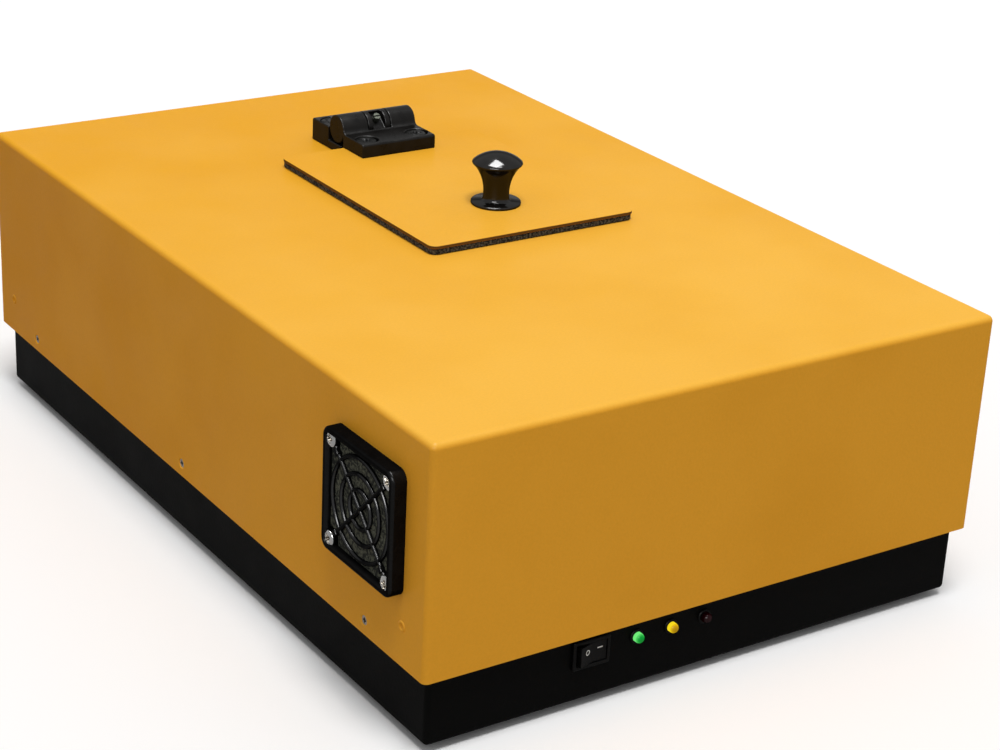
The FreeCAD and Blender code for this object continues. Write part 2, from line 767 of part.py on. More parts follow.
# Sample lid
def lid_panel():
    panel = centred_slab(LID_SHIFT_X, LID_SHIFT_Y, LID_W, LID_L, LID_UNDER, LID_TOP, LID_CORNER)
    holes = [(LID_SHIFT_X, KNOB_Y)] + hinge_places(-HINGE_LID_SCREW_Y)
    tools = [rod(at(x, y, LID_UNDER), Z_AXIS, M4_R + HOLE_CLEAR, LID_SHEET) for x, y in holes]
    return drilled(panel, tools)


def lid_gasket():
    low = TOP_Z + GASKET_LIFT
    ring = centred_slab(LID_SHIFT_X, LID_SHIFT_Y, LID_W, LID_L, low, LID_UNDER, LID_CORNER)
    hole = centred_slab(LID_SHIFT_X, LID_SHIFT_Y, LID_W - 2 * GASKET_BAND, LID_L - 2 * GASKET_BAND,
                        low, LID_UNDER, OPENING_CORNER)
    return ring.cut(hole)


def lid_knob():
    brim = KNOB_HEAD_R - KNOB_LIP / 4
    neck_foot = at(KNOB_NECK_R + KNOB_SPREAD, 0, KNOB_FLANGE_H)
    flare = Part.BSplineCurve()
    flare.interpolate([neck_foot, at(KNOB_NECK_R, 0, KNOB_NECK_H), at(brim, 0, KNOB_HEAD_H)],
                      InitialTangent=at(-1, 0, KNOB_FOOT_SLOPE),
                      FinalTangent=at(1, 0, KNOB_HEAD_SLOPE))
    lip = Part.Arc(at(brim, 0, KNOB_HEAD_H), at(KNOB_HEAD_R, 0, KNOB_HEAD_H + KNOB_LIP / 2),
                   at(brim, 0, KNOB_HEAD_H + KNOB_LIP))
    rise = KNOB_TOTAL_H - KNOB_HEAD_H - KNOB_LIP
    dome_r = (brim ** 2 + rise ** 2) / (2 * rise)
    halfway = math.asin(brim / dome_r) / 2
    crown = at(dome_r * math.sin(halfway), 0, KNOB_TOTAL_H - dome_r * (1 - math.cos(halfway)))
    dome = Part.Arc(at(brim, 0, KNOB_HEAD_H + KNOB_LIP), crown, at(0, 0, KNOB_TOTAL_H))
    thread = M4_R + THREAD_CLEAR
    foot = [at(0, 0, KNOB_TOTAL_H), at(0, 0, KNOB_THREAD_DEPTH), at(thread, 0, KNOB_THREAD_DEPTH),
            at(thread, 0, 0), at(KNOB_FLANGE_R, 0, 0),
            at(KNOB_FLANGE_R, 0, KNOB_FLANGE_H), neck_foot]
    edges = [Part.makeLine(foot[i], foot[i + 1]) for i in range(len(foot) - 1)]
    edges += [flare.toShape(), lip.toShape(), dome.toShape()]
    knob = Part.Face(Part.Wire(edges)).revolve(at(0, 0, 0), Z_AXIS, 360)
    knob.translate(at(LID_SHIFT_X, KNOB_Y, LID_TOP))
    return knob


def interlock_magnet():
    y = LID_FRONT + GASKET_BAND + MAGNET_FROM_BAND
    return rod(at(LID_SHIFT_X, y, LID_UNDER), Z_AXIS * -1, MAGNET_R, MAGNET_T)


def interlock_sensor():
    top = WELL_TOP - WELL_SHEET - SENSOR_DROP
    half = SENSOR_W / 2
    body = block(LID_SHIFT_X - half, LID_SHIFT_X + half, WELL_FRONT - SENSOR_D, WELL_FRONT,
                 top - SENSOR_H, top)
    face = WELL_FRONT - SENSOR_D
    return rounded(body, SENSOR_EDGE, lambda edge: abs(edge.CenterOfMass.y - face) < 1e-6)


# Torque hinge
def hinge_profile(edges, x0, x1):
    wire = Part.Wire(edges)
    shape = Part.Face(wire).extrude(at(x1 - x0, 0, 0))
    shape.translate(at(LID_SHIFT_X + x0, HINGE_Y, HINGE_Z))
    return shape


def hinge_lid_section():
    # Side outline of the lid leaf about the hinge axis, from the front edge to the barrel
    low = LID_TOP - HINGE_Z
    high = low + HINGE_LEAF_T
    front = -HINGE_LID_REACH
    barrel = HINGE_BARREL_R
    crook = HINGE_CROOK_R
    crook_z = high + crook
    crook_y = -math.sqrt((barrel + crook) ** 2 - crook_z ** 2)
    share = barrel / (barrel + crook)
    touch = at(0, crook_y * share, crook_z * share)
    halfway = math.atan2(-crook_z, -crook_y) / 2 - math.radians(45)
    sag = at(0, crook_y + crook * math.cos(halfway), crook_z + crook * math.sin(halfway))
    tail = at(0, -HINGE_LID_TAIL, low)
    tail_angle = -math.acos(-HINGE_LID_TAIL / barrel)
    landing = at(0, barrel * math.cos(tail_angle), barrel * math.sin(tail_angle))
    edge = HINGE_EDGE_R
    half = edge * (1 - math.sqrt(0.5))
    top_arc_mid = at(0, barrel, 0)
    return [
        Part.makeLine(tail, at(0, front, low)),
        Part.makeLine(at(0, front, low), at(0, front, high - edge)),
        Part.Arc(at(0, front, high - edge), at(0, front + half, high - half),
                 at(0, front + edge, high)).toShape(),
        Part.makeLine(at(0, front + edge, high), at(0, crook_y, high)),
        Part.Arc(at(0, crook_y, high), sag, touch).toShape(),
        Part.Arc(touch, top_arc_mid, landing).toShape(),
        Part.makeLine(landing, tail),
    ]


def hinge_lid_leaf():
    half = HINGE_W / 2
    leaf = hinge_profile(hinge_lid_section(), -half, half)
    slot = HINGE_KNUCKLE_W / 2 + HINGE_SIDE_GAP
    centre = at(LID_SHIFT_X - slot, HINGE_Y, HINGE_Z)
    tools = [rod(centre, X_AXIS, HINGE_BARREL_R + HINGE_SWEEP_GAP, 2 * slot)]
    pin_start = at(LID_SHIFT_X - half + HINGE_BLIND_WALL, HINGE_Y, HINGE_Z)
    tools.append(rod(pin_start, X_AXIS, HINGE_PIN_R + HINGE_RUN, HINGE_W))
    cup_z = LID_TOP + HINGE_LEAF_T - HINGE_CUP_DEPTH
    for x, y in hinge_places(-HINGE_LID_SCREW_Y):
        tools.append(rod(at(x, y, cup_z), Z_AXIS, HINGE_CUP_R, HINGE_LEAF_T))
        tools.append(rod(at(x, y, LID_TOP), Z_AXIS, M4_R + HOLE_CLEAR, HINGE_LEAF_T))
    return drilled(leaf, tools)


def hinge_cover_leaf():
    half = HINGE_W / 2
    low = -HINGE_AXIS_RISE
    high = low + HINGE_COVER_T
    toe = low + HINGE_TOE_T
    face = HINGE_COVER_FACE
    back = HINGE_COVER_REACH
    edge = HINGE_EDGE_R
    bend = edge * (1 - math.sqrt(0.5))
    outline = [
        Part.makeLine(at(0, -HINGE_TOE, low), at(0, -HINGE_TOE, toe)),
        Part.makeLine(at(0, -HINGE_TOE, toe), at(0, face, toe)),
        Part.makeLine(at(0, face, toe), at(0, face, high)),
        Part.makeLine(at(0, face, high), at(0, back - edge, high)),
        Part.Arc(at(0, back - edge, high), at(0, back - bend, high - bend),
                 at(0, back, high - edge)).toShape(),
        Part.makeLine(at(0, back, high - edge), at(0, back, low)),
        Part.makeLine(at(0, back, low), at(0, -HINGE_TOE, low)),
    ]
    plate = hinge_profile(outline, -half, half)
    knuckle_half = HINGE_KNUCKLE_W / 2
    start = at(LID_SHIFT_X - knuckle_half, HINGE_Y, HINGE_Z)
    knuckle = rod(start, X_AXIS, HINGE_BARREL_R, HINGE_KNUCKLE_W)
    neck = block(LID_SHIFT_X - knuckle_half, LID_SHIFT_X + knuckle_half, HINGE_Y - HINGE_TOE,
                 HINGE_Y + face, TOP_Z, HINGE_Z + high)
    leaf = joined([plate, neck, knuckle])
    notch_half = HINGE_NOTCH_W / 2
    notch = block(-notch_half, notch_half, -HINGE_BARREL_R, HINGE_BARREL_R / 2,
                  HINGE_NOTCH_FLOOR, 2 * HINGE_BARREL_R)
    notch.rotate(at(0, 0, 0), X_AXIS, TORQUE_SCREW_TILT)
    notch.translate(at(LID_SHIFT_X, HINGE_Y, HINGE_Z))
    tools = [notch, rod(at(LID_SHIFT_X - half, HINGE_Y, HINGE_Z), X_AXIS,
                        HINGE_PIN_R + HINGE_RUN / 2, HINGE_W)]
    tools.append(torque_screw_hole())
    cup_z = TOP_Z + HINGE_COVER_T - HINGE_CUP_DEPTH
    for x, y in hinge_places(HINGE_COVER_SCREW_Y):
        tools.append(rod(at(x, y, cup_z), Z_AXIS, HINGE_CUP_R, HINGE_COVER_T))
        tools.append(rod(at(x, y, TOP_Z), Z_AXIS, M4_R + HOLE_CLEAR, HINGE_COVER_T))
    return drilled(leaf, tools)


def torque_direction():
    tilt = math.radians(TORQUE_SCREW_TILT)
    return at(0, -math.sin(tilt), math.cos(tilt))


def torque_screw_hole():
    inner = HINGE_PIN_R + HINGE_RUN
    start = at(LID_SHIFT_X, HINGE_Y, HINGE_Z) + torque_direction() * inner
    return rod(start, torque_direction(), TORQUE_SCREW_R / 2 + THREAD_CLEAR, HINGE_NOTCH_FLOOR)


def torque_screw():
    seat = at(LID_SHIFT_X, HINGE_Y, HINGE_Z) + torque_direction() * HINGE_NOTCH_FLOOR
    head_h = HINGE_BARREL_R - HINGE_NOTCH_FLOOR - HINGE_SIDE_GAP
    length = HINGE_NOTCH_FLOOR - HINGE_PIN_R - 2 * HINGE_RUN
    head = rod(seat, torque_direction(), TORQUE_SCREW_R, head_h)
    slot = Part.makeBox(2 * TORQUE_SCREW_R, TORQUE_SCREW_R / 3, head_h / 2,
                        at(-TORQUE_SCREW_R, -TORQUE_SCREW_R / 6, head_h / 2))
    head = head.cut(placed(slot, seat, torque_direction()))
    return joined([head, rod(seat, torque_direction() * -1, TORQUE_SCREW_R / 2, length)])


def hinge_pin():
    start = LID_SHIFT_X - HINGE_W / 2 + HINGE_BLIND_WALL + HINGE_SIDE_GAP
    length = HINGE_W - HINGE_BLIND_WALL - 2 * HINGE_SIDE_GAP
    return rod(at(start, HINGE_Y, HINGE_Z), X_AXIS, HINGE_PIN_R, length)


def lid_screws():
    # Two down through the hinge leaf and one up into the knob
    seat_z = LID_TOP + HINGE_LEAF_T - HINGE_CUP_DEPTH
    length = seat_z - LID_UNDER + NUT4_H
    screws = [pan_screw(at(x, y, seat_z), Z_AXIS * -1, M4_R, PAN4_HEAD_R, PAN4_HEAD_H, length)
              for x, y in hinge_places(-HINGE_LID_SCREW_Y)]
    screws.append(pan_screw(at(LID_SHIFT_X, KNOB_Y, LID_UNDER), Z_AXIS, M4_R,
                            PAN4_HEAD_R, PAN4_HEAD_H,
                            LID_SHEET + KNOB_THREAD_DEPTH - 2 * SCREW_TIP_GAP))
    return Part.makeCompound(screws)


def hinge_cover_screws():
    seat_z = TOP_Z + HINGE_COVER_T - HINGE_CUP_DEPTH
    length = seat_z - CEILING_Z + NUT4_H
    return Part.makeCompound([
        pan_screw(at(x, y, seat_z), Z_AXIS * -1, M4_R, PAN4_HEAD_R, PAN4_HEAD_H, length)
        for x, y in hinge_places(HINGE_COVER_SCREW_Y)])


def hinge_lid_nuts():
    return Part.makeCompound([
        hex_nut(at(x, y, LID_UNDER - NUT4_H), Z_AXIS, NUT4_FLATS, NUT4_H, M4_R + THREAD_CLEAR)
        for x, y in hinge_places(-HINGE_LID_SCREW_Y)])


def case_nuts():
    # Behind the hinge under the cover, and behind the fan
    nuts = [hex_nut(at(x, y, CEILING_Z - NUT4_H), Z_AXIS, NUT4_FLATS, NUT4_H,
                    M4_R + THREAD_CLEAR)
            for x, y in hinge_places(HINGE_COVER_SCREW_Y)]
    nuts += [hex_nut(at(LEFT_IN + FAN_DEPTH, FAN_Y + y, FAN_Z + z), X_AXIS, NUT4_FLATS, NUT4_H,
                     M4_R + THREAD_CLEAR)
             for y, z in corners(FAN_PITCH / 2, FAN_PITCH / 2)]
    return Part.makeCompound(nuts)


# Fan: parts are built along +Z from the outside inwards and then laid along +X
def in_fan(shape):
    return placed(shape, at(LEFT_IN, FAN_Y, FAN_Z), X_AXIS)


def fan_housing():
    half = FAN_SIZE / 2
    front = centred_slab(0, 0, FAN_SIZE, FAN_SIZE, 0, FAN_FLANGE_T, FAN_CORNER)
    rear = front.copy()
    rear.translate(at(0, 0, FAN_DEPTH - FAN_FLANGE_T))
    duct = Part.makeCylinder(FAN_BORE_R + FAN_DUCT_WALL, FAN_DEPTH)
    bore = Part.makeCylinder(FAN_BORE_R, FAN_DEPTH)
    holes = [rod(at(x, y, 0), Z_AXIS, M4_R + HOLE_CLEAR, FAN_DEPTH)
             for x, y in corners(FAN_PITCH / 2, FAN_PITCH / 2)]
    frame = drilled(joined([front, rear, duct]), [bore] + holes)
    inner_z = FAN_DEPTH - FAN_STRUT_T
    disc = Part.makeCylinder(FAN_DISC_R, FAN_STRUT_T, at(0, 0, inner_z))
    parts = [frame, disc]
    for i in range(FAN_STRUTS):
        strut = block(FAN_DISC_R - FAN_DUCT_WALL, half - FAN_DUCT_WALL, -FAN_STRUT_W / 2, FAN_STRUT_W / 2,
                      inner_z, FAN_DEPTH)
        strut.rotate(at(0, 0, 0), Z_AXIS, 360 / FAN_STRUTS * (i + 0.5) - FAN_STRUT_TURN)
        parts.append(strut.common(Part.makeCylinder(FAN_BORE_R + FAN_DUCT_WALL / 2, FAN_DEPTH)))
    return in_fan(joined(parts))


def fan_motor_core():
    # Stator with its wound poles, on the disc inside the hub cup
    base = FAN_DEPTH - FAN_STRUT_T
    core = Part.makeCylinder(CORE_R, CORE_L, at(0, 0, base - CORE_L))
    slots = []
    for i in range(CORE_SLOTS):
        slot = block(CORE_SLOT_START, 2 * CORE_R, -CORE_SLOT_W / 2, CORE_SLOT_W / 2,
                     base - CORE_L, base - CORE_BACK_T)
        slot.rotate(at(0, 0, 0), Z_AXIS, 360 / CORE_SLOTS * i)
        slots.append(slot)
    slots.append(Part.makeCylinder(SHAFT_R + THREAD_CLEAR, CORE_L, at(0, 0, base - CORE_L)))
    return in_fan(drilled(core, slots))


def blade_section(radius, chord, pitch):
    # Thin cambered section square to the radius, leading edge towards the outside of the case
    lean = math.radians(pitch)
    along = at(0, math.cos(lean), math.sin(lean))
    across = at(0, -math.sin(lean), math.cos(lean))
    middle = at(radius, 0, HUB_START + HUB_L / 2)
    half_t = BLADE_T / 2
    tip_t = BLADE_T / 4
    lead = middle - along * (chord / 2)
    trail = middle + along * (chord / 2)
    outer = Part.Arc(lead + across * tip_t, middle + across * (BLADE_CAMBER + half_t),
                     trail + across * tip_t).toShape()
    inner = Part.Arc(trail - across * tip_t, middle + across * (BLADE_CAMBER - half_t),
                     lead - across * tip_t).toShape()
    ends = [Part.makeLine(trail + across * tip_t, trail - across * tip_t),
            Part.makeLine(lead - across * tip_t, lead + across * tip_t)]
    return Part.Wire([outer, ends[0], inner, ends[1]])


def fan_impeller():
    cup = Part.makeCylinder(HUB_R, HUB_L, at(0, 0, HUB_START))
    cup = rounded(cup, HUB_ROUND, is_level_at(HUB_START))
    hollow = Part.makeCylinder(HUB_R - HUB_WALL, HUB_L, at(0, 0, HUB_START + HUB_FACE_T))
    shaft_hole = Part.makeCylinder(SHAFT_R, HUB_L, at(0, 0, HUB_START + SHAFT_BED))
    cup = drilled(cup, [hollow, shaft_hole])
    root = blade_section(HUB_R - HUB_WALL / 2, BLADE_ROOT_CHORD, BLADE_ROOT_PITCH)
    tip = blade_section(FAN_BORE_R + FAN_DUCT_WALL, BLADE_TIP_CHORD, BLADE_TIP_PITCH)
    blade = Part.makeLoft([root, tip], True, True)
    tip_r = FAN_BORE_R - BLADE_TIP_GAP
    swept = tube(at(0, 0, 0), Z_AXIS, tip_r, HUB_R - HUB_WALL / 2, FAN_DEPTH)
    blade = blade.common(swept)
    blades = []
    for i in range(FAN_BLADES):
        copy = blade.copy()
        copy.rotate(at(0, 0, 0), Z_AXIS, 360 / FAN_BLADES * i)
        blades.append(copy)
    return in_fan(cup.multiFuse(blades))


def fan_shaft():
    start = HUB_START + SHAFT_BED
    length = FAN_DEPTH - FAN_STRUT_T - start - SHAFT_END_GAP
    return in_fan(Part.makeCylinder(SHAFT_R, length, at(0, 0, start)))


def fan_screws():
    length = GUARD_PAD_H + COVER_SHEET + FAN_DEPTH + NUT4_H
    return Part.makeCompound([
        pan_screw(at(LEFT - GUARD_PAD_H, FAN_Y + y, FAN_Z + z), X_AXIS, M4_R,
                  PAN4_HEAD_R, PAN4_HEAD_H, length)
        for y, z in corners(FAN_PITCH / 2, FAN_PITCH / 2)])


# Guard: built along +Z from the cover outwards and then laid along -X
def in_guard(shape):
    return placed(shape, at(LEFT, FAN_Y, FAN_Z), X_AXIS * -1)


def guard_posts(radius, height):
    return [rod(at(x, y, 0), Z_AXIS, radius, height)
            for x, y in corners(FAN_PITCH / 2, FAN_PITCH / 2)]


def fan_guard():
    outer = centred_slab(0, 0, GUARD_SIZE, GUARD_SIZE, 0, GUARD_T, GUARD_CORNER)
    outer = rounded(outer, GUARD_EDGE_R, is_level_at(GUARD_T))
    inner = GUARD_SIZE - 2 * GUARD_WALL
    cavity = centred_slab(0, 0, inner, inner, 0, GUARD_T - GUARD_LIP_T, GUARD_CORNER - GUARD_WALL)
    window = GUARD_SIZE - 2 * GUARD_LIP_W
    mouth = centred_slab(0, 0, window, window, 0, GUARD_T, GUARD_CORNER - GUARD_WALL)
    shell = outer.cut(cavity).cut(mouth)
    bound = centred_slab(0, 0, inner + GUARD_WALL, inner + GUARD_WALL, 0, GUARD_T,
                         GUARD_CORNER - GUARD_WALL / 2)
    posts = [post.common(bound) for post in guard_posts(GUARD_PAD_R, GUARD_PAD_H)]
    face = GUARD_T - GUARD_SINK
    rings = [tube(at(0, 0, face - RING_T), Z_AXIS, r + RING_W / 2, r - RING_W / 2, RING_T)
             for r in RING_RADII]
    screw_r = FAN_PITCH / math.sqrt(2)
    reach = screw_r - M4_R - SPOKE_END_GAP
    nub_r = screw_r - NUB_FROM_SCREW
    bars = []
    for angle in (45, 135):
        bar = block(-reach, reach, -SPOKE_W / 2, SPOKE_W / 2, face - SPOKE_T, face)
        bar.rotate(at(0, 0, 0), Z_AXIS, angle)
        bars.append(bar)
        for side in (-1, 1):
            nub = block(side * nub_r - NUB_W / 2, side * nub_r + NUB_W / 2,
                        -NUB_W / 2, NUB_W / 2, face - SPOKE_T, face + NUB_H)
            nub.rotate(at(0, 0, 0), Z_AXIS, angle)
            bars.append(nub)
    guard = joined([shell] + posts + rings + bars)
    clear = [rod(at(x, y, GUARD_PAD_H), Z_AXIS, PAN4_HEAD_R + HOLE_CLEAR, GUARD_T)
             for x, y in corners(FAN_PITCH / 2, FAN_PITCH / 2)]
    return in_guard(drilled(guard, clear + guard_posts(M4_R + HOLE_CLEAR, GUARD_T)))


def filter_foam():
    side = GUARD_SIZE - 2 * GUARD_WALL - 2 * FOAM_SIDE_GAP
    front = GUARD_T - GUARD_SINK - SPOKE_T
    pad = centred_slab(0, 0, side, side, front - FOAM_T, front, GUARD_CORNER - GUARD_WALL)
    return in_guard(drilled(pad, guard_posts(GUARD_PAD_R + FOAM_SIDE_GAP, GUARD_T)))


# Power switch: built about the pivot line, which stands upright in the front wall
def switch_body():
    front = TRAY_FRONT
    bezel = block(SWITCH_X - BEZEL_W / 2, SWITCH_X + BEZEL_W / 2, front - BEZEL_T, front,
                  SWITCH_Z - BEZEL_H / 2, SWITCH_Z + BEZEL_H / 2)
    bezel = rounded(bezel, BEZEL_CORNER, lambda edge: abs(edge.CenterOfMass.y - front) > 1e-6)
    shell = block(SWITCH_X - SWITCH_BODY_W / 2, SWITCH_X + SWITCH_BODY_W / 2,
                  front, front + SWITCH_BODY_L,
                  SWITCH_Z - SWITCH_BODY_H / 2, SWITCH_Z + SWITCH_BODY_H / 2)
    half_w = ROCKER_W / 2 + ROCKER_GAP
    half_h = ROCKER_H / 2 + ROCKER_GAP / 2
    cavity = block(SWITCH_X - half_w, SWITCH_X + half_w, front - BEZEL_T, front + ROCKER_CAVITY,
                   SWITCH_Z - half_h, SWITCH_Z + half_h)
    pivot_half = ROCKER_H / 2 + TRUNNION_L + TRUNNION_END_GAP
    pivot = rod(at(SWITCH_X, front, SWITCH_Z - pivot_half), Z_AXIS, TRUNNION_R + HINGE_RUN,
                2 * pivot_half)
    body = drilled(joined([bezel, shell]), [cavity, pivot])
    tabs = []
    for i in (-1, 0):
        x = SWITCH_X + (i + 0.5) * TAB_PITCH
        tabs.append(block(x - TAB_T / 2, x + TAB_T / 2, front + SWITCH_BODY_L,
                          front + SWITCH_BODY_L + TAB_L, SWITCH_Z - TAB_W / 2, SWITCH_Z + TAB_W / 2))
    return joined([body] + tabs)


def switch_rocker():
    # Two facets in a shallow V, modelled level and then pressed to the on side
    tilt = math.radians(ROCKER_TILT)
    half = ROCKER_W / 2
    tip = ROCKER_LOW + half * math.tan(tilt)
    outline = [at(-half, -tip, 0), at(0, -ROCKER_LOW, 0), at(half, -tip, 0),
               at(half, ROCKER_LOW, 0), at(ROCKER_KEEL_W / 2, ROCKER_KEEL, 0),
               at(-ROCKER_KEEL_W / 2, ROCKER_KEEL, 0), at(-half, ROCKER_LOW, 0)]
    body = prism(outline, at(0, 0, ROCKER_H))
    body.translate(at(0, 0, -ROCKER_H / 2))
    trunnion = rod(at(0, 0, -ROCKER_H / 2 - TRUNNION_L), Z_AXIS, TRUNNION_R,
                   ROCKER_H + 2 * TRUNNION_L)
    rocker = joined([body, trunnion])
    rocker.rotate(at(0, 0, 0), Z_AXIS, ROCKER_TILT)
    rocker.translate(at(SWITCH_X, TRAY_FRONT, SWITCH_Z))
    return rocker


# Indicator lamps
def led_lamp(x):
    tip = TRAY_FRONT - HOLDER_FLANGE_T - LED_SHOW
    dome = Part.makeSphere(LED_R, at(x, tip, LED_Z))
    body = rod(at(x, tip, LED_Z), Y_AXIS, LED_R, LED_BODY_L)
    rim = rod(at(x, tip + LED_BODY_L, LED_Z), Y_AXIS, LED_RIM_R, LED_RIM_T)
    return joined([dome, body, rim])


def led_holders():
    holders = []
    for x in LED_XS:
        bevel = HOLDER_FLANGE_T / 2
        edge_y = TRAY_FRONT - HOLDER_FLANGE_T
        flange = joined([
            Part.makeCone(HOLDER_FLANGE_R - bevel, HOLDER_FLANGE_R, bevel, at(x, edge_y, LED_Z), Y_AXIS),
            rod(at(x, edge_y + bevel, LED_Z), Y_AXIS, HOLDER_FLANGE_R, bevel)])
        sleeve = rod(at(x, TRAY_FRONT, LED_Z), Y_AXIS, HOLDER_SLEEVE_R, HOLDER_SLEEVE_L)
        bore = rod(at(x, TRAY_FRONT - HOLDER_FLANGE_T, LED_Z), Y_AXIS, LED_R + THREAD_CLEAR,
                   HOLDER_FLANGE_T + HOLDER_SLEEVE_L)
        rim_y = TRAY_FRONT - HOLDER_FLANGE_T - LED_SHOW + LED_BODY_L
        seat = rod(at(x, rim_y, LED_Z), Y_AXIS, LED_RIM_R + THREAD_CLEAR, HOLDER_SLEEVE_L)
        holders.append(drilled(joined([flange, sleeve]), [bore, seat]))
    return Part.makeCompound(holders)


def led_board():
    face = TRAY_FRONT + HOLDER_SLEEVE_L
    middle = (LED_XS[0] + LED_XS[-1]) / 2
    board = block(middle - LED_BOARD_W / 2, middle + LED_BOARD_W / 2, face, face + BOARD_T,
                  LED_Z - LED_BOARD_H / 2, LED_Z + LED_BOARD_H / 2)
    header = block(middle - LED_HEADER_W / 2, middle + LED_HEADER_W / 2,
                   face + BOARD_T, face + BOARD_T + LED_HEADER_D,
                   LED_Z - LED_HEADER_H / 2, LED_Z + LED_HEADER_H / 2)
    return joined([board, header])


# Mains inlet and data port
def mains_inlet():
    flange = slab_upright(INLET_X, INLET_Z, INLET_FLANGE_W, INLET_FLANGE_H, TRAY_BACK,
                          INLET_FLANGE_T, INLET_FLANGE_CORNER)
    body = block(INLET_X - INLET_BODY_W / 2, INLET_X + INLET_BODY_W / 2,
                 TRAY_BACK - INLET_BODY_L, TRAY_BACK,
                 INLET_Z - INLET_BODY_H / 2, INLET_Z + INLET_BODY_H / 2)
    mouth = inlet_mouth()
    tools = [mouth]
    for sx in (-1, 1):
        seat = at(INLET_X + sx * INLET_SCREW_PITCH / 2, TRAY_BACK + INLET_FLANGE_T, INLET_Z)
        tools.append(flat_screw_hole(seat, Y_AXIS * -1, M3_R, FLAT3_HEAD_R, FLAT3_HEAD_H,
                                     INLET_FLANGE_T))
    return drilled(joined([flange, body]), tools)


def slab_upright(x, z, width, height, y, depth, radius):
    # Slab with rounded corners standing on the back wall and growing along +Y
    shape = centred_slab(0, 0, width, height, 0, depth, radius)
    shape.rotate(at(0, 0, 0), X_AXIS, -90)
    shape.translate(at(x, y, z))
    return shape


def inlet_mouth():
    half_w = INLET_MOUTH_W / 2
    half_h = INLET_MOUTH_H / 2
    cut = INLET_MOUTH_CUT
    y = TRAY_BACK + INLET_FLANGE_T
    outline = [(-half_w, -half_h), (half_w, -half_h), (half_w, half_h - cut),
               (half_w - cut, half_h), (-half_w + cut, half_h), (-half_w, half_h - cut)]
    points = [at(INLET_X + u, y, INLET_Z + v) for u, v in outline]
    return prism(points, at(0, -INLET_MOUTH_DEPTH, 0))


def inlet_pins():
    floor = TRAY_BACK + INLET_FLANGE_T - INLET_MOUTH_DEPTH
    places = [(-PIN_PITCH / 2, -PIN_EARTH_RISE / 2), (0, PIN_EARTH_RISE / 2),
              (PIN_PITCH / 2, -PIN_EARTH_RISE / 2)]
    pins = []
    for u, v in places:
        pins.append(block(INLET_X + u - PIN_W / 2, INLET_X + u + PIN_W / 2, floor, floor + PIN_L,
                          INLET_Z + v - PIN_H / 2, INLET_Z + v + PIN_H / 2))
    return Part.makeCompound(pins)


def port_centre_z():
    return TRAY_FLOOR + SPACER_H + BOARD_T + PORT_H / 2


def data_port():
    z = port_centre_z()
    y1 = TRAY_BACK + PORT_PROUD
    shell = block(PORT_X - PORT_W / 2, PORT_X + PORT_W / 2, y1 - PORT_L, y1,
                  z - PORT_H / 2, z + PORT_H / 2)
    wall = 2 * PORT_WALL
    mouth = block(PORT_X - PORT_W / 2 + wall, PORT_X + PORT_W / 2 - wall, y1 - PORT_DEPTH, y1,
                  z - PORT_H / 2 + wall, z + PORT_H / 2 - wall)
    tongue = block(PORT_X - PORT_TONGUE_W / 2, PORT_X + PORT_TONGUE_W / 2,
                   y1 - PORT_DEPTH, y1 - PORT_WALL, z - PORT_TONGUE_H / 2, z + PORT_TONGUE_H / 2)
    return joined([shell.cut(mouth), tongue])


# Sample well
def sample_well():
    x = LID_SHIFT_X
    y = LID_SHIFT_Y
    box = centred_slab(x, y, WELL_OUT_W, WELL_OUT_L, PLATE_TOP, WELL_TOP,
                       WELL_CORNER + WELL_SHEET)
    brim = centred_slab(x, y, WELL_OUT_W + 2 * WELL_FLANGE_W, WELL_OUT_L + 2 * WELL_FLANGE_W,
                        WELL_TOP - WELL_SHEET, WELL_TOP, WELL_CORNER)
    hollow = centred_slab(x, y, WELL_IN_W, WELL_IN_L, WELL_FLOOR, WELL_TOP, WELL_CORNER)
    well = joined([box, brim]).cut(hollow)
    reach = 4 * WELL_SHEET
    tools = [rod(at(x, WELL_FRONT - WELL_SHEET, BEAM_Z), Y_AXIS, PORT_LASER_R, reach),
             rod(at(x, WELL_BACK + WELL_SHEET, BEAM_Z), Y_AXIS * -1, PORT_VISIBLE_R, reach),
             rod(at(WELL_LEFT - WELL_SHEET, y, BEAM_Z), X_AXIS, PORT_COLLECT_R, reach),
             rod(at(WELL_RIGHT + WELL_SHEET, y, BEAM_Z), X_AXIS * -1, PORT_LAMP_R, reach)]
    for sx, sy in well_screw_places():
        tools.append(rod(at(sx, sy, PLATE_TOP), Z_AXIS, M4_R + HOLE_CLEAR, WELL_SHEET))
    return drilled(well, tools)


def cuvette_holder():
    x = LID_SHIFT_X
    y = LID_SHIFT_Y
    top = WELL_FLOOR + HOLDER_H
    base = centred_slab(x, y, HOLDER_BASE_SIDE, HOLDER_BASE_SIDE, WELL_FLOOR,
                        WELL_FLOOR + HOLDER_BASE_T, HOLDER_EDGE)
    tower = centred_slab(x, y, HOLDER_SIDE, HOLDER_SIDE, WELL_FLOOR, top, HOLDER_EDGE)
    side = CUVETTE_SIDE + 2 * CUVETTE_CLEAR
    pocket = block(x - side / 2, x + side / 2, y - side / 2, y + side / 2,
                   top - HOLDER_WELL_DEPTH, top)
    reach = HOLDER_SIDE / 2 + 1
    windows = [rod(at(x - reach, y, BEAM_Z), X_AXIS, HOLDER_WINDOW_R, 2 * reach),
               rod(at(x, y - reach, BEAM_Z), Y_AXIS, HOLDER_WINDOW_R, 2 * reach)]
    return drilled(joined([base, tower]), [pocket] + windows)


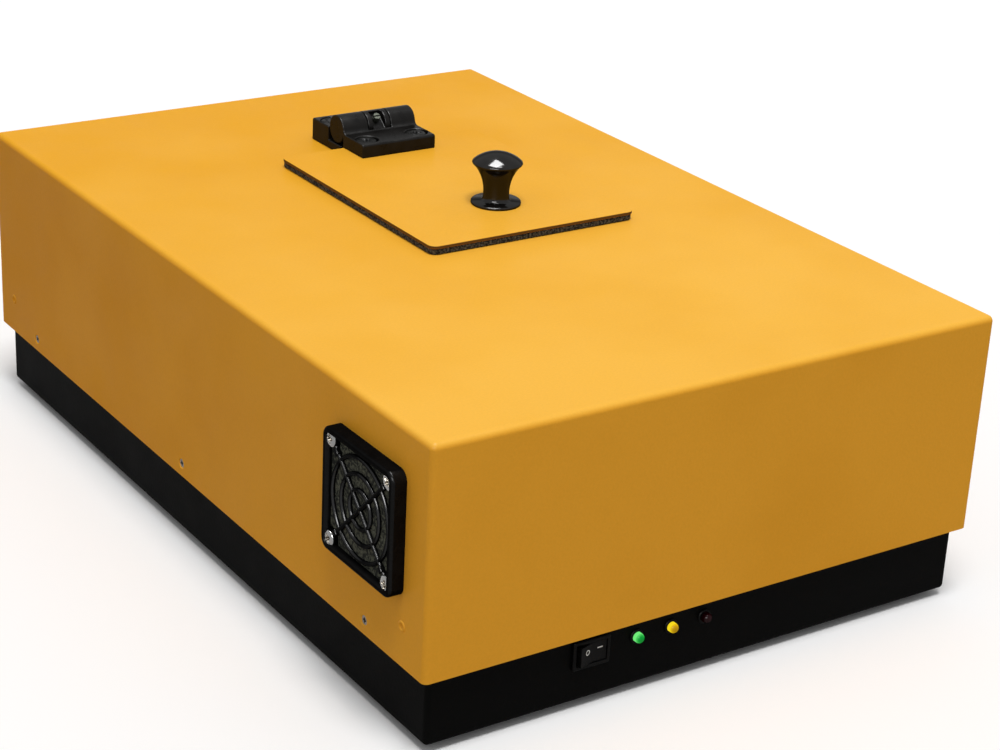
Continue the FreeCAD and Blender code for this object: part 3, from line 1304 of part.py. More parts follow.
# Collection lens between well and spectrograph
def lens(radius, edge_t, centre_t):
    # Biconvex lens along +Z about its middle plane
    bulge = at(0, 0, centre_t / 2)
    rim = at(radius, 0, edge_t / 2)
    rise = (centre_t - edge_t) / 2
    curve_r = (radius ** 2 + rise ** 2) / (2 * rise)
    half_angle = math.asin(radius / curve_r) / 2
    mid = at(curve_r * math.sin(half_angle), 0,
             centre_t / 2 - curve_r * (1 - math.cos(half_angle)))
    low_rim, low_mid, low_bulge = [at(point.x, 0, -point.z) for point in (rim, mid, bulge)]
    wire = Part.Wire([Part.Arc(bulge, mid, rim).toShape(), Part.makeLine(rim, low_rim),
                      Part.Arc(low_rim, low_mid, low_bulge).toShape(),
                      Part.makeLine(low_bulge, bulge)])
    return Part.Face(wire).revolve(at(0, 0, 0), Z_AXIS, 360)


def collection_lens():
    middle = at((WELL_LEFT + SPECTRO_RIGHT) / 2, LID_SHIFT_Y, BEAM_Z)
    return placed(lens(COLLECT_LENS_R, LENS_EDGE_T, COLLECT_LENS_T), middle, X_AXIS)


# Near-infrared spectrograph
def spectro_box():
    return SPECTRO_LEFT, SPECTRO_RIGHT, SPECTRO_FRONT, SPECTRO_FRONT + SPECTRO_L


def spectrograph_housing():
    left, right, front, back = spectro_box()
    wall = SPECTRO_WALL
    top = PLATE_TOP + SPECTRO_H
    outer = slab(left, right, front, back, PLATE_TOP, top, SPECTRO_CORNER)
    snout = rod(at(right - wall / 2, LID_SHIFT_Y, BEAM_Z), X_AXIS, COLLECT_LENS_R + TUBE_WALL,
                WELL_LEFT - right + wall / 2)
    inner = slab(left + wall, right - wall, front + wall, back - wall, PLATE_TOP + wall, top,
                 SPECTRO_CORNER - wall / 2)
    web = right - wall + SLIT_T
    ports = [rod(at(web, LID_SHIFT_Y, BEAM_Z), X_AXIS, COLLECT_LENS_R + THREAD_CLEAR,
                 WELL_LEFT - web),
             block(right - 2 * wall, web, LID_SHIFT_Y - SLIT_W / 2, LID_SHIFT_Y + SLIT_W / 2,
                   BEAM_Z - SLIT_H / 2, BEAM_Z + SLIT_H / 2),
             rod(at(DISPERSED_LINE_X, front, BEAM_Z), Y_AXIS, DETECTOR_PORT_R, 2 * wall)]
    return joined([outer, snout]).cut(inner).cut(Part.makeCompound(ports))


def spectrograph_lid():
    left, right, front, back = spectro_box()
    low = PLATE_TOP + SPECTRO_H
    lid = slab(left, right, front, back, low, low + SPECTRO_LID_T, SPECTRO_CORNER)
    return rounded(lid, SPECTRO_LID_T / 4, is_level_at(low + SPECTRO_LID_T))


def mirror_on_post(x, y, heading, radius, thickness):
    # Round mirror on a post from the housing floor, facing the given heading in degrees
    floor = PLATE_TOP + SPECTRO_WALL
    half = radius * MIRROR_POST_SHARE
    post = block(-MIRROR_BACK_T, 0, -half, half, floor, BEAM_Z + half)
    glass = rod(at(0, 0, BEAM_Z), X_AXIS, radius, thickness)
    shape = joined([post, glass])
    shape.rotate(at(0, 0, 0), Z_AXIS, heading)
    shape.translate(at(x, y, 0))
    return shape


def spectrograph_mirrors():
    # Flat fold mirror behind the slit, collimating mirror, and camera mirror before the detector
    far_y = SPECTRO_FRONT + COLLIMATOR_Y
    return Part.makeCompound([
        mirror_on_post(FOLD_X, LID_SHIFT_Y, 45, FOLD_R, MIRROR_T),
        mirror_on_post(FOLD_X, far_y, -90 + MIRROR_TOE, MIRROR_R, MIRROR_T),
        mirror_on_post(DISPERSED_LINE_X, far_y, -90 - MIRROR_TOE, MIRROR_R, MIRROR_T)])


def diffraction_grating():
    floor = PLATE_TOP + SPECTRO_WALL
    half = GRATING_SIDE / 2
    table = Part.makeCylinder(half, GRATING_TABLE_T, at(0, 0, floor))
    post = block(-GRATING_T, 0, -half / 2, half / 2, floor, BEAM_Z - half)
    plate = block(-GRATING_T, 0, -half, half, BEAM_Z - half, BEAM_Z + half)
    shape = joined([table, post, plate])
    shape.rotate(at(0, 0, 0), Z_AXIS, GRATING_HEADING)
    shape.translate(at(SPECTRO_RIGHT - SPECTRO_W / 2, SPECTRO_FRONT + GRATING_Y, 0))
    return shape


def detector_head():
    x = DISPERSED_LINE_X
    body = slab(x - DETECTOR_W / 2, x + DETECTOR_W / 2, SPECTRO_FRONT - DETECTOR_L, SPECTRO_FRONT,
                PLATE_TOP, PLATE_TOP + DETECTOR_H, DETECTOR_CORNER)
    window = rod(at(x, SPECTRO_FRONT - SPECTRO_WALL, BEAM_Z), Y_AXIS, DETECTOR_WINDOW_R, SPECTRO_WALL)
    return body.cut(window)


def detector_heat_sink():
    x = DISPERSED_LINE_X
    left = x - DETECTOR_W / 2
    back = SPECTRO_FRONT - DETECTOR_L
    base = block(left, left + DETECTOR_W, back - SINK_BASE_T, back, PLATE_TOP, PLATE_TOP + DETECTOR_H)
    pitch = (DETECTOR_W - SINK_FIN_T) / (SINK_FINS - 1)
    fins = [block(left + i * pitch, left + i * pitch + SINK_FIN_T, back - SINK_L, back - SINK_BASE_T,
                  PLATE_TOP, PLATE_TOP + DETECTOR_H) for i in range(SINK_FINS)]
    return joined([base] + fins)


# Laser modules, each on a saddle, and the block that brings their beams together
def laser_seats():
    # The first laser fires straight at the well, the others join its beam from the right
    rows = [LASER_FIRST_Y, LASER_FIRST_Y - LASER_PITCH]
    seats = [(at(LID_SHIFT_X, LASER_FRONT_Y, BEAM_Z), 90)]
    seats += [(at(LASER_SIDE_START, y, BEAM_Z), 180) for y in rows]
    return seats


def turned(shape, seat, heading):
    # Parts built looking along +X are turned about their beam and moved to the seat
    shape = shape.copy()
    shape.rotate(at(0, 0, 0), Z_AXIS, heading)
    shape.translate(at(seat.x, seat.y, 0))
    return shape


def laser_module(index):
    seat, heading = laser_seats()[index]
    half = LASER_SIDE / 2
    body = block(-LASER_L, 0, -half, half, BEAM_Z - half, BEAM_Z + half)
    body = rounded(body, LASER_CORNER, lambda edge: abs(edge.CenterOfMass.x + LASER_L / 2) < 1e-6)
    snout = rod(at(0, 0, BEAM_Z), X_AXIS, LASER_SNOUT_R, LASER_SNOUT_L)
    bore = rod(at(LASER_SNOUT_L, 0, BEAM_Z), X_AXIS * -1, LASER_BORE_R, LASER_BORE_DEPTH)
    return turned(joined([body, snout]).cut(bore), seat, heading)


def laser_mounts():
    return Part.makeCompound([laser_mount(seat, heading) for seat, heading in laser_seats()])


def laser_mount(seat, heading):
    half = LASER_SIDE / 2
    waist = MOUNT_WAIST / 2
    top = BEAM_Z - half
    foot = PLATE_TOP + MOUNT_FOOT_T
    outline = [(-half, PLATE_TOP), (half, PLATE_TOP), (half, foot), (waist, foot + MOUNT_FOOT_T),
               (waist, top - MOUNT_FOOT_T), (half, top), (-half, top),
               (-waist, top - MOUNT_FOOT_T), (-waist, foot + MOUNT_FOOT_T), (-half, foot)]
    start = MOUNT_END - LASER_L
    shape = prism([at(start, y, z) for y, z in outline], at(LASER_L - 2 * MOUNT_END, 0, 0))
    return turned(shape, seat, heading)


def beam_combiner():
    seats = laser_seats()
    back = seats[1][0].y + COMBINER_MARGIN
    front = seats[2][0].y - COMBINER_MARGIN
    half = COMBINER_W / 2
    base = slab(LID_SHIFT_X - half, LID_SHIFT_X + half, front, back, PLATE_TOP,
                BEAM_Z - DICHROIC_R - DICHROIC_T, HOLDER_EDGE)
    posts = []
    for seat, heading in seats[1:]:
        post_half = COMBINER_POST_W / 2
        post = block(-COMBINER_POST_T, 0, -post_half, post_half,
                     BEAM_Z - DICHROIC_R - 2 * DICHROIC_T, BEAM_Z + post_half)
        hole = rod(at(-COMBINER_POST_T, 0, BEAM_Z), X_AXIS, COMBINER_WINDOW_R, COMBINER_POST_T)
        post = post.cut(hole)
        post.rotate(at(0, 0, 0), Z_AXIS, 45)
        post.translate(at(LID_SHIFT_X, seat.y, 0))
        posts.append(post)
    return joined([base] + posts)


def dichroic_mirrors():
    mirrors = []
    for seat, heading in laser_seats()[1:]:
        disc = rod(at(0, 0, BEAM_Z), X_AXIS, DICHROIC_R, DICHROIC_T)
        disc.rotate(at(0, 0, 0), Z_AXIS, 45)
        disc.translate(at(LID_SHIFT_X, seat.y, 0))
        mirrors.append(disc)
    return Part.makeCompound(mirrors)


# Halogen lamp for absorption
def lamp_housing():
    x0 = LAMP_LEFT
    x1 = LAMP_RIGHT
    y0 = LID_SHIFT_Y - LAMP_L / 2
    y1 = LID_SHIFT_Y + LAMP_L / 2
    top = PLATE_TOP + LAMP_H
    wall = LAMP_WALL
    outer = slab(x0, x1, y0, y1, PLATE_TOP, top, 2 * wall)
    inner = slab(x0 + wall, x1 - wall, y0 + wall, y1 - wall, PLATE_TOP + wall, top - wall, wall)
    snout = rod(at(WELL_RIGHT, LID_SHIFT_Y, BEAM_Z), X_AXIS, CONDENSER_R + TUBE_WALL,
                x0 - WELL_RIGHT + wall)
    bore = rod(at(WELL_RIGHT, LID_SHIFT_Y, BEAM_Z), X_AXIS, CONDENSER_R + THREAD_CLEAR,
               x0 - WELL_RIGHT + 2 * wall)
    slots = []
    for i in range(LAMP_SLOTS):
        y = LID_SHIFT_Y + (i - (LAMP_SLOTS - 1) / 2) * LAMP_SLOT_PITCH
        slots.append(block(x0 + LAMP_SLOT_END, x1 - LAMP_SLOT_END, y - LAMP_SLOT_W / 2,
                           y + LAMP_SLOT_W / 2, top - wall, top))
    shell = drilled(joined([outer, snout]), [inner, bore] + slots)
    return joined([shell, lamp_socket()])


def condenser_lens():
    middle = at((WELL_RIGHT + LAMP_LEFT) / 2, LID_SHIFT_Y, BEAM_Z)
    return placed(lens(CONDENSER_R, LENS_EDGE_T, CONDENSER_T), middle, X_AXIS)


def lamp_socket():
    x = (LAMP_LEFT + LAMP_RIGHT) / 2
    floor = PLATE_TOP + LAMP_WALL
    return rod(at(x, LID_SHIFT_Y, floor), Z_AXIS, SOCKET_R, BEAM_Z - BULB_L / 2 - floor)


def halogen_bulb():
    x = (LAMP_LEFT + LAMP_RIGHT) / 2
    low = BEAM_Z - BULB_L / 2
    capsule = rod(at(x, LID_SHIFT_Y, low), Z_AXIS, BULB_R, BULB_L - BULB_R)
    tip = Part.makeSphere(BULB_R, at(x, LID_SHIFT_Y, low + BULB_L - BULB_R))
    return joined([capsule, tip])


# Visible spectrometer behind the well
def visible_box():
    front = WELL_BACK + VISIBLE_GAP
    left = LID_SHIFT_X - VISIBLE_W / 2
    return left, left + VISIBLE_W, front, front + VISIBLE_L


def visible_spectrometer():
    x0, x1, y0, y1 = visible_box()
    body = slab(x0, x1, y0, y1, BEAM_Z - VISIBLE_H / 2, BEAM_Z + VISIBLE_H / 2, VISIBLE_CORNER)
    snout = rod(at(LID_SHIFT_X, WELL_BACK, BEAM_Z), Y_AXIS, VISIBLE_TUBE_R, VISIBLE_GAP)
    bore = rod(at(LID_SHIFT_X, WELL_BACK, BEAM_Z), Y_AXIS, PORT_VISIBLE_R,
               VISIBLE_GAP + VISIBLE_BORE_END)
    return joined([joined([body, snout]).cut(bore), spectrometer_bracket()])


def spectrometer_bracket():
    x0, x1, y0, y1 = visible_box()
    top = BEAM_Z - VISIBLE_H / 2
    t = BRACKET_T
    foot = 4 * t
    outline = [(x0 - foot, PLATE_TOP), (x0 + t, PLATE_TOP), (x0 + t, top - t),
               (x1 - t, top - t), (x1 - t, PLATE_TOP), (x1 + foot, PLATE_TOP),
               (x1 + foot, PLATE_TOP + t), (x1, PLATE_TOP + t), (x1, top), (x0, top),
               (x0, PLATE_TOP + t), (x0 - foot, PLATE_TOP + t)]
    return prism([at(x, y0 + t, z) for x, z in outline], at(0, VISIBLE_L - 2 * t, 0))


# Electronics
def power_supply():
    x0 = SUPPLY_LEFT
    y0 = SUPPLY_Y - SUPPLY_L / 2
    z1 = TRAY_FLOOR + SUPPLY_H
    sheet = SUPPLY_SHEET
    outer = block(x0, x0 + SUPPLY_W, y0, y0 + SUPPLY_L, TRAY_FLOOR, z1)
    hollow = block(x0 + sheet, x0 + SUPPLY_W - sheet, y0 + sheet, y0 + SUPPLY_L - sheet,
                   TRAY_FLOOR + sheet, z1 - sheet)
    tools = [hollow]
    for i in range(SUPPLY_VENT_COLUMNS):
        for j in range(SUPPLY_VENT_ROWS):
            x = SUPPLY_X + (i - (SUPPLY_VENT_COLUMNS - 1) / 2) * SUPPLY_VENT_PITCH
            y = SUPPLY_Y + (j - (SUPPLY_VENT_ROWS - 1) / 2) * SUPPLY_VENT_PITCH
            tools.append(rod(at(x, y, z1 - sheet), Z_AXIS, SUPPLY_VENT_R, sheet))
    return drilled(outer, tools)


def board_box():
    back = TRAY_BACK - BASE_SHEET - BOARD_BACK_GAP
    left = SUPPLY_LEFT + SUPPLY_W + BOARD_SUPPLY_GAP
    return left, TRAY_RIGHT - BASE_SHEET - BOARD_SIDE_GAP, back - BOARD_L, back


def spacer_places():
    x0, x1, y0, y1 = board_box()
    inset = SPACER_INSET
    return [(x, y) for x in (x0 + inset, x1 - inset) for y in (y0 + inset, y1 - inset)]


def board_spacers():
    return [tube(at(x, y, TRAY_FLOOR), Z_AXIS, SPACER_R, M3_R, SPACER_H)
            for x, y in spacer_places()]


def control_board():
    x0, x1, y0, y1 = board_box()
    low = TRAY_FLOOR + SPACER_H
    top = low + BOARD_T
    board = block(x0, x1, y0, y1, low, top)
    board = drilled(board, [rod(at(x, y, low), Z_AXIS, M3_R, BOARD_T) for x, y in spacer_places()])
    parts = [board]
    header_y = y0 + HEADER_INSET + HEADER_H / 2
    pitch = (x1 - x0) / (CHIPS + 1)
    for i in range(CHIPS):
        x = x0 + (i + 1) * pitch
        parts.append(centred_block(x, (y0 + y1) / 2, pitch / 2, pitch / 2, top, top + CHIP_T))
        parts.append(centred_block(x, header_y, pitch - HEADER_GAP, HEADER_H, top, top + HEADER_H))
    return joined(parts)


# Mains lead from the inlet to the switch, lying along the left wall of the tray
def tangent_path(points):
    # Straight runs joined by the largest arcs that both runs at a corner leave room for
    pieces = []
    start = points[0]
    for i in range(1, len(points) - 1):
        before = points[i - 1] - points[i]
        after = points[i + 1] - points[i]
        turn = math.pi - before.getAngle(after)
        radius = LEAD_ARC_SHARE * min(before.Length, after.Length) / math.tan(turn / 2)
        reach = radius * math.tan(turn / 2)
        u = before.normalize()
        w = after.normalize()
        entry = points[i] + u * reach
        leave = points[i] + w * reach
        bisector = (u + w).normalize()
        depth = radius / math.cos(turn / 2) - radius
        pieces.append(Part.LineSegment(start, entry).toShape())
        pieces.append(Part.Arc(entry, points[i] + bisector * depth, leave).toShape())
        start = leave
    pieces.append(Part.LineSegment(start, points[-1]).toShape())
    return Part.Wire(pieces)


def lead_end(end, side, run, reach):
    # Straight out of the connector, then down and across to the lane along the wall
    lane = TRAY_LEFT + BASE_SHEET + LEAD_LANE
    floor = TRAY_FLOOR + LEAD_LIFT + LEAD_R
    return [end, at(end.x, end.y + side * run, end.z), at(lane, end.y + side * reach, floor)]


def mains_lead():
    inlet = at(INLET_X, TRAY_BACK - INLET_BODY_L, INLET_Z)
    switch = at(SWITCH_X, TRAY_FRONT + SWITCH_BODY_L + TAB_L, SWITCH_Z)
    first = lead_end(inlet, -1, LEAD_INLET_RUN, LEAD_INLET_REACH)
    last = lead_end(switch, 1, LEAD_SWITCH_RUN, LEAD_SWITCH_REACH)
    span = last[-1] - first[-1]
    lane = []
    for i in range(1, LEAD_RUNS):
        sway = LEAD_SWAY * (i - LEAD_RUNS / 2)
        lane.append(first[-1] + span * (i / LEAD_RUNS) + X_AXIS * sway)
    points = first + lane + last[::-1]
    profile = Part.Wire(Part.makeCircle(LEAD_R, points[0], points[1] - points[0]))
    return tangent_path(points).makePipeShell([profile], True, False)


PIECES = {
    "base_tray": base_tray,
    "rubber_feet": rubber_feet,
    "feet_screws": feet_screws,
    "plate_screws": plate_screws,
    "optical_plate": optical_plate,
    "instrument_cover": instrument_cover,
    "flat_screws": flat_screws,
    "cover_rivets": cover_rivets,
    "lid_panel": lid_panel,
    "lid_gasket": lid_gasket,
    "lid_knob": lid_knob,
    "interlock_magnet": interlock_magnet,
    "interlock_sensor": interlock_sensor,
    "hinge_lid_leaf": hinge_lid_leaf,
    "hinge_cover_leaf": hinge_cover_leaf,
    "hinge_pin": hinge_pin,
    "torque_screw": torque_screw,
    "lid_screws": lid_screws,
    "hinge_cover_screws": hinge_cover_screws,
    "hinge_lid_nuts": hinge_lid_nuts,
    "case_nuts": case_nuts,
    "fan_guard": fan_guard,
    "filter_foam": filter_foam,
    "fan_housing": fan_housing,
    "fan_motor_core": fan_motor_core,
    "fan_impeller": fan_impeller,
    "fan_shaft": fan_shaft,
    "fan_screws": fan_screws,
    "switch_body": switch_body,
    "switch_rocker": switch_rocker,
    "led_holders": led_holders,
    "led_board": led_board,
    "mains_inlet": mains_inlet,
    "inlet_pins": inlet_pins,
    "data_port": data_port,
    "sample_well": sample_well,
    "cuvette_holder": cuvette_holder,
    "collection_lens": collection_lens,
    "spectrograph_housing": spectrograph_housing,
    "spectrograph_lid": spectrograph_lid,
    "spectrograph_mirrors": spectrograph_mirrors,
    "diffraction_grating": diffraction_grating,
    "detector_head": detector_head,
    "detector_heat_sink": detector_heat_sink,
    "laser_mounts": laser_mounts,
    "beam_combiner": beam_combiner,
    "dichroic_mirrors": dichroic_mirrors,
    "lamp_housing": lamp_housing,
    "condenser_lens": condenser_lens,
    "halogen_bulb": halogen_bulb,
    "visible_spectrometer": visible_spectrometer,
    "power_supply": power_supply,
    "control_board": control_board,
    "mains_lead": mains_lead,
}


def write(node, shape):
    shape = shape.copy()
    shape.translate(at(CASE_SHIFT, 0, 0))
    shape.exportStep("parts/" + node + ".step")


os.makedirs("parts", exist_ok=True)
for node, make in PIECES.items():
    write(node, make())
for colour, x in zip(LED_COLOURS, LED_XS):
    write("led_" + colour, led_lamp(x))
for index in range(len(laser_seats())):
    write("laser_module_" + str(index + 1), laser_module(index))
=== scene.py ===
import json
import math

import bmesh
import bpy
from mathutils import Matrix, Vector
from mathutils.bvhtree import BVHTree


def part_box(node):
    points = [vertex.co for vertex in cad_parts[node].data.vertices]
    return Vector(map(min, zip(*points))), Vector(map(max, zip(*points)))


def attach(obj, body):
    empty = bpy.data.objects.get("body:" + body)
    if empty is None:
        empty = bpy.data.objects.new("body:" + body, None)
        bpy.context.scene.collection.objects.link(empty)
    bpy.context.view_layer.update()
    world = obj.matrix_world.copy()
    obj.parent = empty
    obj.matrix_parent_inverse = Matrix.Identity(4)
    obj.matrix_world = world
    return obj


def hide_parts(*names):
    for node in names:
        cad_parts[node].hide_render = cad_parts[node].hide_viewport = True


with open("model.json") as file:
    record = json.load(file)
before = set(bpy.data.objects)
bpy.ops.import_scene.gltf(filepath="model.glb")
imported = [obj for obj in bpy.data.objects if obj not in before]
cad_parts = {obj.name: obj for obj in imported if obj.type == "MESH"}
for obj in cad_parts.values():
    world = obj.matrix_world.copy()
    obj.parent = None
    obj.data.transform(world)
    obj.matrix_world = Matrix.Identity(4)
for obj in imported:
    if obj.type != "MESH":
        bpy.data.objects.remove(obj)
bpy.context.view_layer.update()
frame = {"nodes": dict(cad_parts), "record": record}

# Near-infrared spectrometer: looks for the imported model, in metres
MM = 0.001
COVER_LOW, COVER_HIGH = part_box("instrument_cover")
CASE_MIDDLE = (COVER_LOW.x + COVER_HIGH.x) / 2
LEFT = Vector((-1, 0, 0))
BACKWARD = Vector((0, 1, 0))
UP = Vector((0, 0, 1))
DOWN = Vector((0, 0, -1))

# Camera, solved from the straight edges of the case
EYE = Vector((CASE_MIDDLE - 0.6427, -0.9882, 0.5725))
HEADING = math.radians(-34.37)
DIP = math.radians(23.26)
ROLL = math.radians(2.90)
LENS = 84.6
SENSOR_WIDTH = 36
NEAREST = 0.05

# Light levels: 1 makes a colour render about as it is written
SKY_LEVEL = 0.40
SUN_LEVEL = 0.62
SUN_SPREAD = math.radians(22)
SUN_DIRECTION = Vector((-0.09, -0.22, 0.97))
FLOOR_BOUNCE = (0.36, 0.32, 0.27)
FLOOR_HALF = 60

# Lamps that only show in gloss: place, width and height, and brightness, where 1 is white
GLOSS_LAMPS = {
    "overhead_lamp": (Vector((-0.05, 0.15, 2.0)), (1.1, 0.8), 40.0),
    "side_lamp": (Vector((-1.60, -1.45, 1.25)), (1.5, 0.8), 22.0),
}

# Colours of the paint, linear: the near and far colours paint the light falling off from front to
# back, and the top sheen colours paint the light on faces turned up
ORANGE_NEAR = (0.96, 0.445, 0.036)
ORANGE_FAR = (0.80, 0.335, 0.014)
TOP_SHEEN_NEAR = (0.97, 0.51, 0.062)
TOP_SHEEN_FAR = (0.86, 0.40, 0.018)
# Darker brown for the upright faces of the lid
UPRIGHT_BROWN = (0.12, 0.06, 0.016)


def camera():
    data = bpy.data.cameras.new("camera")
    data.lens = LENS
    data.sensor_width = SENSOR_WIDTH
    data.clip_start = NEAREST
    view = bpy.data.objects.new("camera", data)
    turn = Matrix.Rotation(HEADING, 4, "Z") @ Matrix.Rotation(math.pi / 2 - DIP, 4, "X")
    view.matrix_world = Matrix.Translation(EYE) @ turn @ Matrix.Rotation(ROLL, 4, "Z")
    bpy.context.scene.collection.objects.link(view)
    bpy.context.scene.camera = view


# Shader nodes
def add_node(tree, kind, inputs=None, **settings):
    made = tree.nodes.new("ShaderNode" + kind)
    for name, value in settings.items():
        setattr(made, name, value)
    for name, value in (inputs or {}).items():
        socket = made.inputs[name]
        if isinstance(value, bpy.types.NodeSocket):
            tree.links.new(value, socket)
        else:
            socket.default_value = value
    return made


def new_finish(name, colour, roughness, specular=0.5, metallic=0.0):
    finish = bpy.data.materials.new(name)
    finish.use_nodes = True
    shader = finish.node_tree.nodes["Principled BSDF"]
    shader.inputs["Base Color"].default_value = (*colour, 1)
    shader.inputs["Roughness"].default_value = roughness
    shader.inputs["Specular IOR Level"].default_value = specular
    shader.inputs["Metallic"].default_value = metallic
    return finish, finish.node_tree, shader


def piece_point(tree, stretch=None):
    point = add_node(tree, "TexCoord").outputs["Object"]
    if stretch:
        point = add_node(tree, "Mapping", {"Vector": point, "Scale": stretch}).outputs["Vector"]
    return point


def part_of(tree, vector, axis):
    return add_node(tree, "SeparateXYZ", {"Vector": vector}).outputs[axis]


def speckle(tree, point, size, detail=2.0, roughness=0.5):
    # Noise with marks of about the given size
    settings = {"Vector": point, "Scale": 1 / size, "Detail": detail, "Roughness": roughness}
    return add_node(tree, "TexNoise", settings).outputs["Fac"]


def ranged(tree, value, low, high, start=0.3, end=0.7):
    # From low at the start of the value's range to high at its end
    settings = {"Value": value, "From Min": start, "From Max": end, "To Min": low, "To Max": high}
    return add_node(tree, "MapRange", settings).outputs["Result"]


def blended(tree, share, first, second):
    # A colour mix keeps its share at socket 0 and its colours at sockets 6 and 7
    mix = add_node(tree, "Mix", data_type="RGBA")
    for index, value in ((0, share), (6, first), (7, second)):
        if isinstance(value, bpy.types.NodeSocket):
            tree.links.new(value, mix.inputs[index])
        else:
            mix.inputs[index].default_value = (*value, 1)
    return mix.outputs[2]


def reckoned(tree, operation, *values, clamped=False):
    made = add_node(tree, "Math", operation=operation, use_clamp=clamped)
    for value, socket in zip(values, made.inputs):
        tree.links.new(value, socket)
    return made.outputs[0]


def raised(tree, height, depth, below=None):
    bump = add_node(tree, "Bump", {"Height": height, "Distance": depth})
    if below:
        tree.links.new(below, bump.inputs["Normal"])
    return bump.outputs["Normal"]


def worn_edges(tree, width):
    # Share of 1 where the surface turns a corner within the given width
    soft = add_node(tree, "Bevel", {"Radius": width}, samples=4).outputs["Normal"]
    plain = add_node(tree, "NewGeometry").outputs["Normal"]
    dot = add_node(tree, "VectorMath", operation="DOT_PRODUCT")
    tree.links.new(soft, dot.inputs[0])
    tree.links.new(plain, dot.inputs[1])
    return ranged(tree, dot.outputs["Value"], 1.0, 0.0, 0.75, 0.98)


def faded_gloss(tree, shader, level, glancing, dull_from=0.65):
    # Gloss that stays dull at a glancing view
    glance = add_node(tree, "LayerWeight", {"Blend": 0.5}).outputs["Facing"]
    tree.links.new(ranged(tree, glance, level, glancing, 0.15, dull_from),
                   shader.inputs["Specular IOR Level"])


# Kinds of finish, with their patterns sized in millimetres
def powder_paint(name, near, far, roughness, specular, top_sheen=None, edge=None):
    # Baked powder coat: fine orange peel; its colour deepens towards the back as a painted
    # fall-off of the light, and grows paler on faces turned up as a painted sheen from the light
    # above
    finish, tree, shader = new_finish(name, near, roughness, specular)
    faded_gloss(tree, shader, specular, 0.3 * specular)
    point = piece_point(tree)
    cloud = ranged(tree, speckle(tree, point, 90 * MM, 3.0), -0.25, 0.25)
    # Painted fall-off of the light: the near colour at the front shades into the far colour at the
    # back
    painted_falloff = ranged(tree, part_of(tree, point, "Y"), 0.0, 1.0, -0.20, 0.20)
    share = reckoned(tree, "ADD", painted_falloff, cloud, clamped=True)
    base = blended(tree, share, near, far)
    upward = part_of(tree, add_node(tree, "TexCoord").outputs["Normal"], "Z")
    # Painted sheen: faces turned up shade into the paler top sheen colours, standing in for the
    # light falling on them
    if top_sheen:
        pale = blended(tree, share, *top_sheen)
        base = blended(tree, ranged(tree, upward, 0.0, 1.0, 0.3, 0.85), base, pale)
    if edge:
        # Darker brown on the faces that stand upright
        flat = reckoned(tree, "ABSOLUTE", upward)
        base = blended(tree, ranged(tree, flat, 0.0, 1.0, 0.3, 0.8), edge, base)
    grain = ranged(tree, speckle(tree, point, 1.2 * MM, 3.0), 0.0, 0.05, 0.25, 0.75)
    tree.links.new(blended(tree, grain, base, (0, 0, 0)), shader.inputs["Base Color"])
    rub = speckle(tree, point, 30 * MM, 4.0, 0.6)
    tree.links.new(ranged(tree, rub, roughness - 0.04, roughness + 0.07),
                   shader.inputs["Roughness"])
    peel = raised(tree, speckle(tree, point, 1.6 * MM, 1.0), 0.06 * MM)
    tree.links.new(raised(tree, speckle(tree, point, 0.5 * MM, 1.0), 0.02 * MM, peel),
                   shader.inputs["Normal"])
    return finish


def moulded_plastic(name, colour, roughness, specular, edge=None, grain=0.6, glancing=None,
                    dull_from=0.65):
    # Moulded plastic with fine texture and, where asked, rubbed edges
    finish, tree, shader = new_finish(name, colour, roughness, specular)
    if glancing is not None:
        faded_gloss(tree, shader, specular, glancing, dull_from)
    point = piece_point(tree)
    smear = speckle(tree, point, 8 * MM, 4.0, 0.6)
    tree.links.new(ranged(tree, smear, roughness - 0.07, roughness + 0.1),
                   shader.inputs["Roughness"])
    lighter = tuple(1.8 * part for part in colour)
    base = blended(tree, ranged(tree, smear, 0.0, 1.0), colour, lighter)
    if edge:
        chips = ranged(tree, speckle(tree, point, 1.5 * MM, 3.0), 0.2, 1.0)
        rubbed = reckoned(tree, "MULTIPLY", chips, worn_edges(tree, 0.5 * MM))
        base = blended(tree, rubbed, base, edge)
    tree.links.new(base, shader.inputs["Base Color"])
    tree.links.new(raised(tree, speckle(tree, point, grain * MM, 1.0), 0.03 * MM),
                   shader.inputs["Normal"])
    return finish


def bare_metal(name, colour, roughness, brushed=None):
    # Metal with fine marks, drawn out along one way where it is brushed
    finish, tree, shader = new_finish(name, colour, roughness, metallic=1.0)
    marks = speckle(tree, piece_point(tree, brushed), 0.8 * MM, 3.0)
    tree.links.new(ranged(tree, marks, roughness - 0.06, roughness + 0.1),
                   shader.inputs["Roughness"])
    dull = tuple(0.75 * part for part in colour)
    tarnish = ranged(tree, speckle(tree, piece_point(tree), 12 * MM, 4.0), 0.0, 0.7)
    tree.links.new(blended(tree, tarnish, colour, dull), shader.inputs["Base Color"])
    tree.links.new(raised(tree, marks, 0.01 * MM), shader.inputs["Normal"])
    return finish


def open_foam(name, dark, light, cell):
    # Open-celled foam, its pores dark and its webs light
    finish, tree, shader = new_finish(name, dark, 0.95, 0.1)
    point = piece_point(tree)
    size = cell * MM
    cells = add_node(tree, "TexVoronoi", {"Vector": point, "Scale": 1 / size}).outputs["Distance"]
    spots = speckle(tree, point, 1.3 * size, 2.0)
    share = ranged(tree, spots, 0.0, 1.0, 0.42, 0.62)
    tree.links.new(blended(tree, share, dark, light), shader.inputs["Base Color"])
    tree.links.new(raised(tree, cells, 0.4 * size), shader.inputs["Normal"])
    return finish


def clear_glass(name, tone):
    finish, tree, shader = new_finish(name, tone, 0.03)
    shader.inputs["Transmission Weight"].default_value = 1.0
    haze = ranged(tree, speckle(tree, piece_point(tree), 4 * MM, 3.0), 0.01, 0.06)
    tree.links.new(haze, shader.inputs["Roughness"])
    return finish


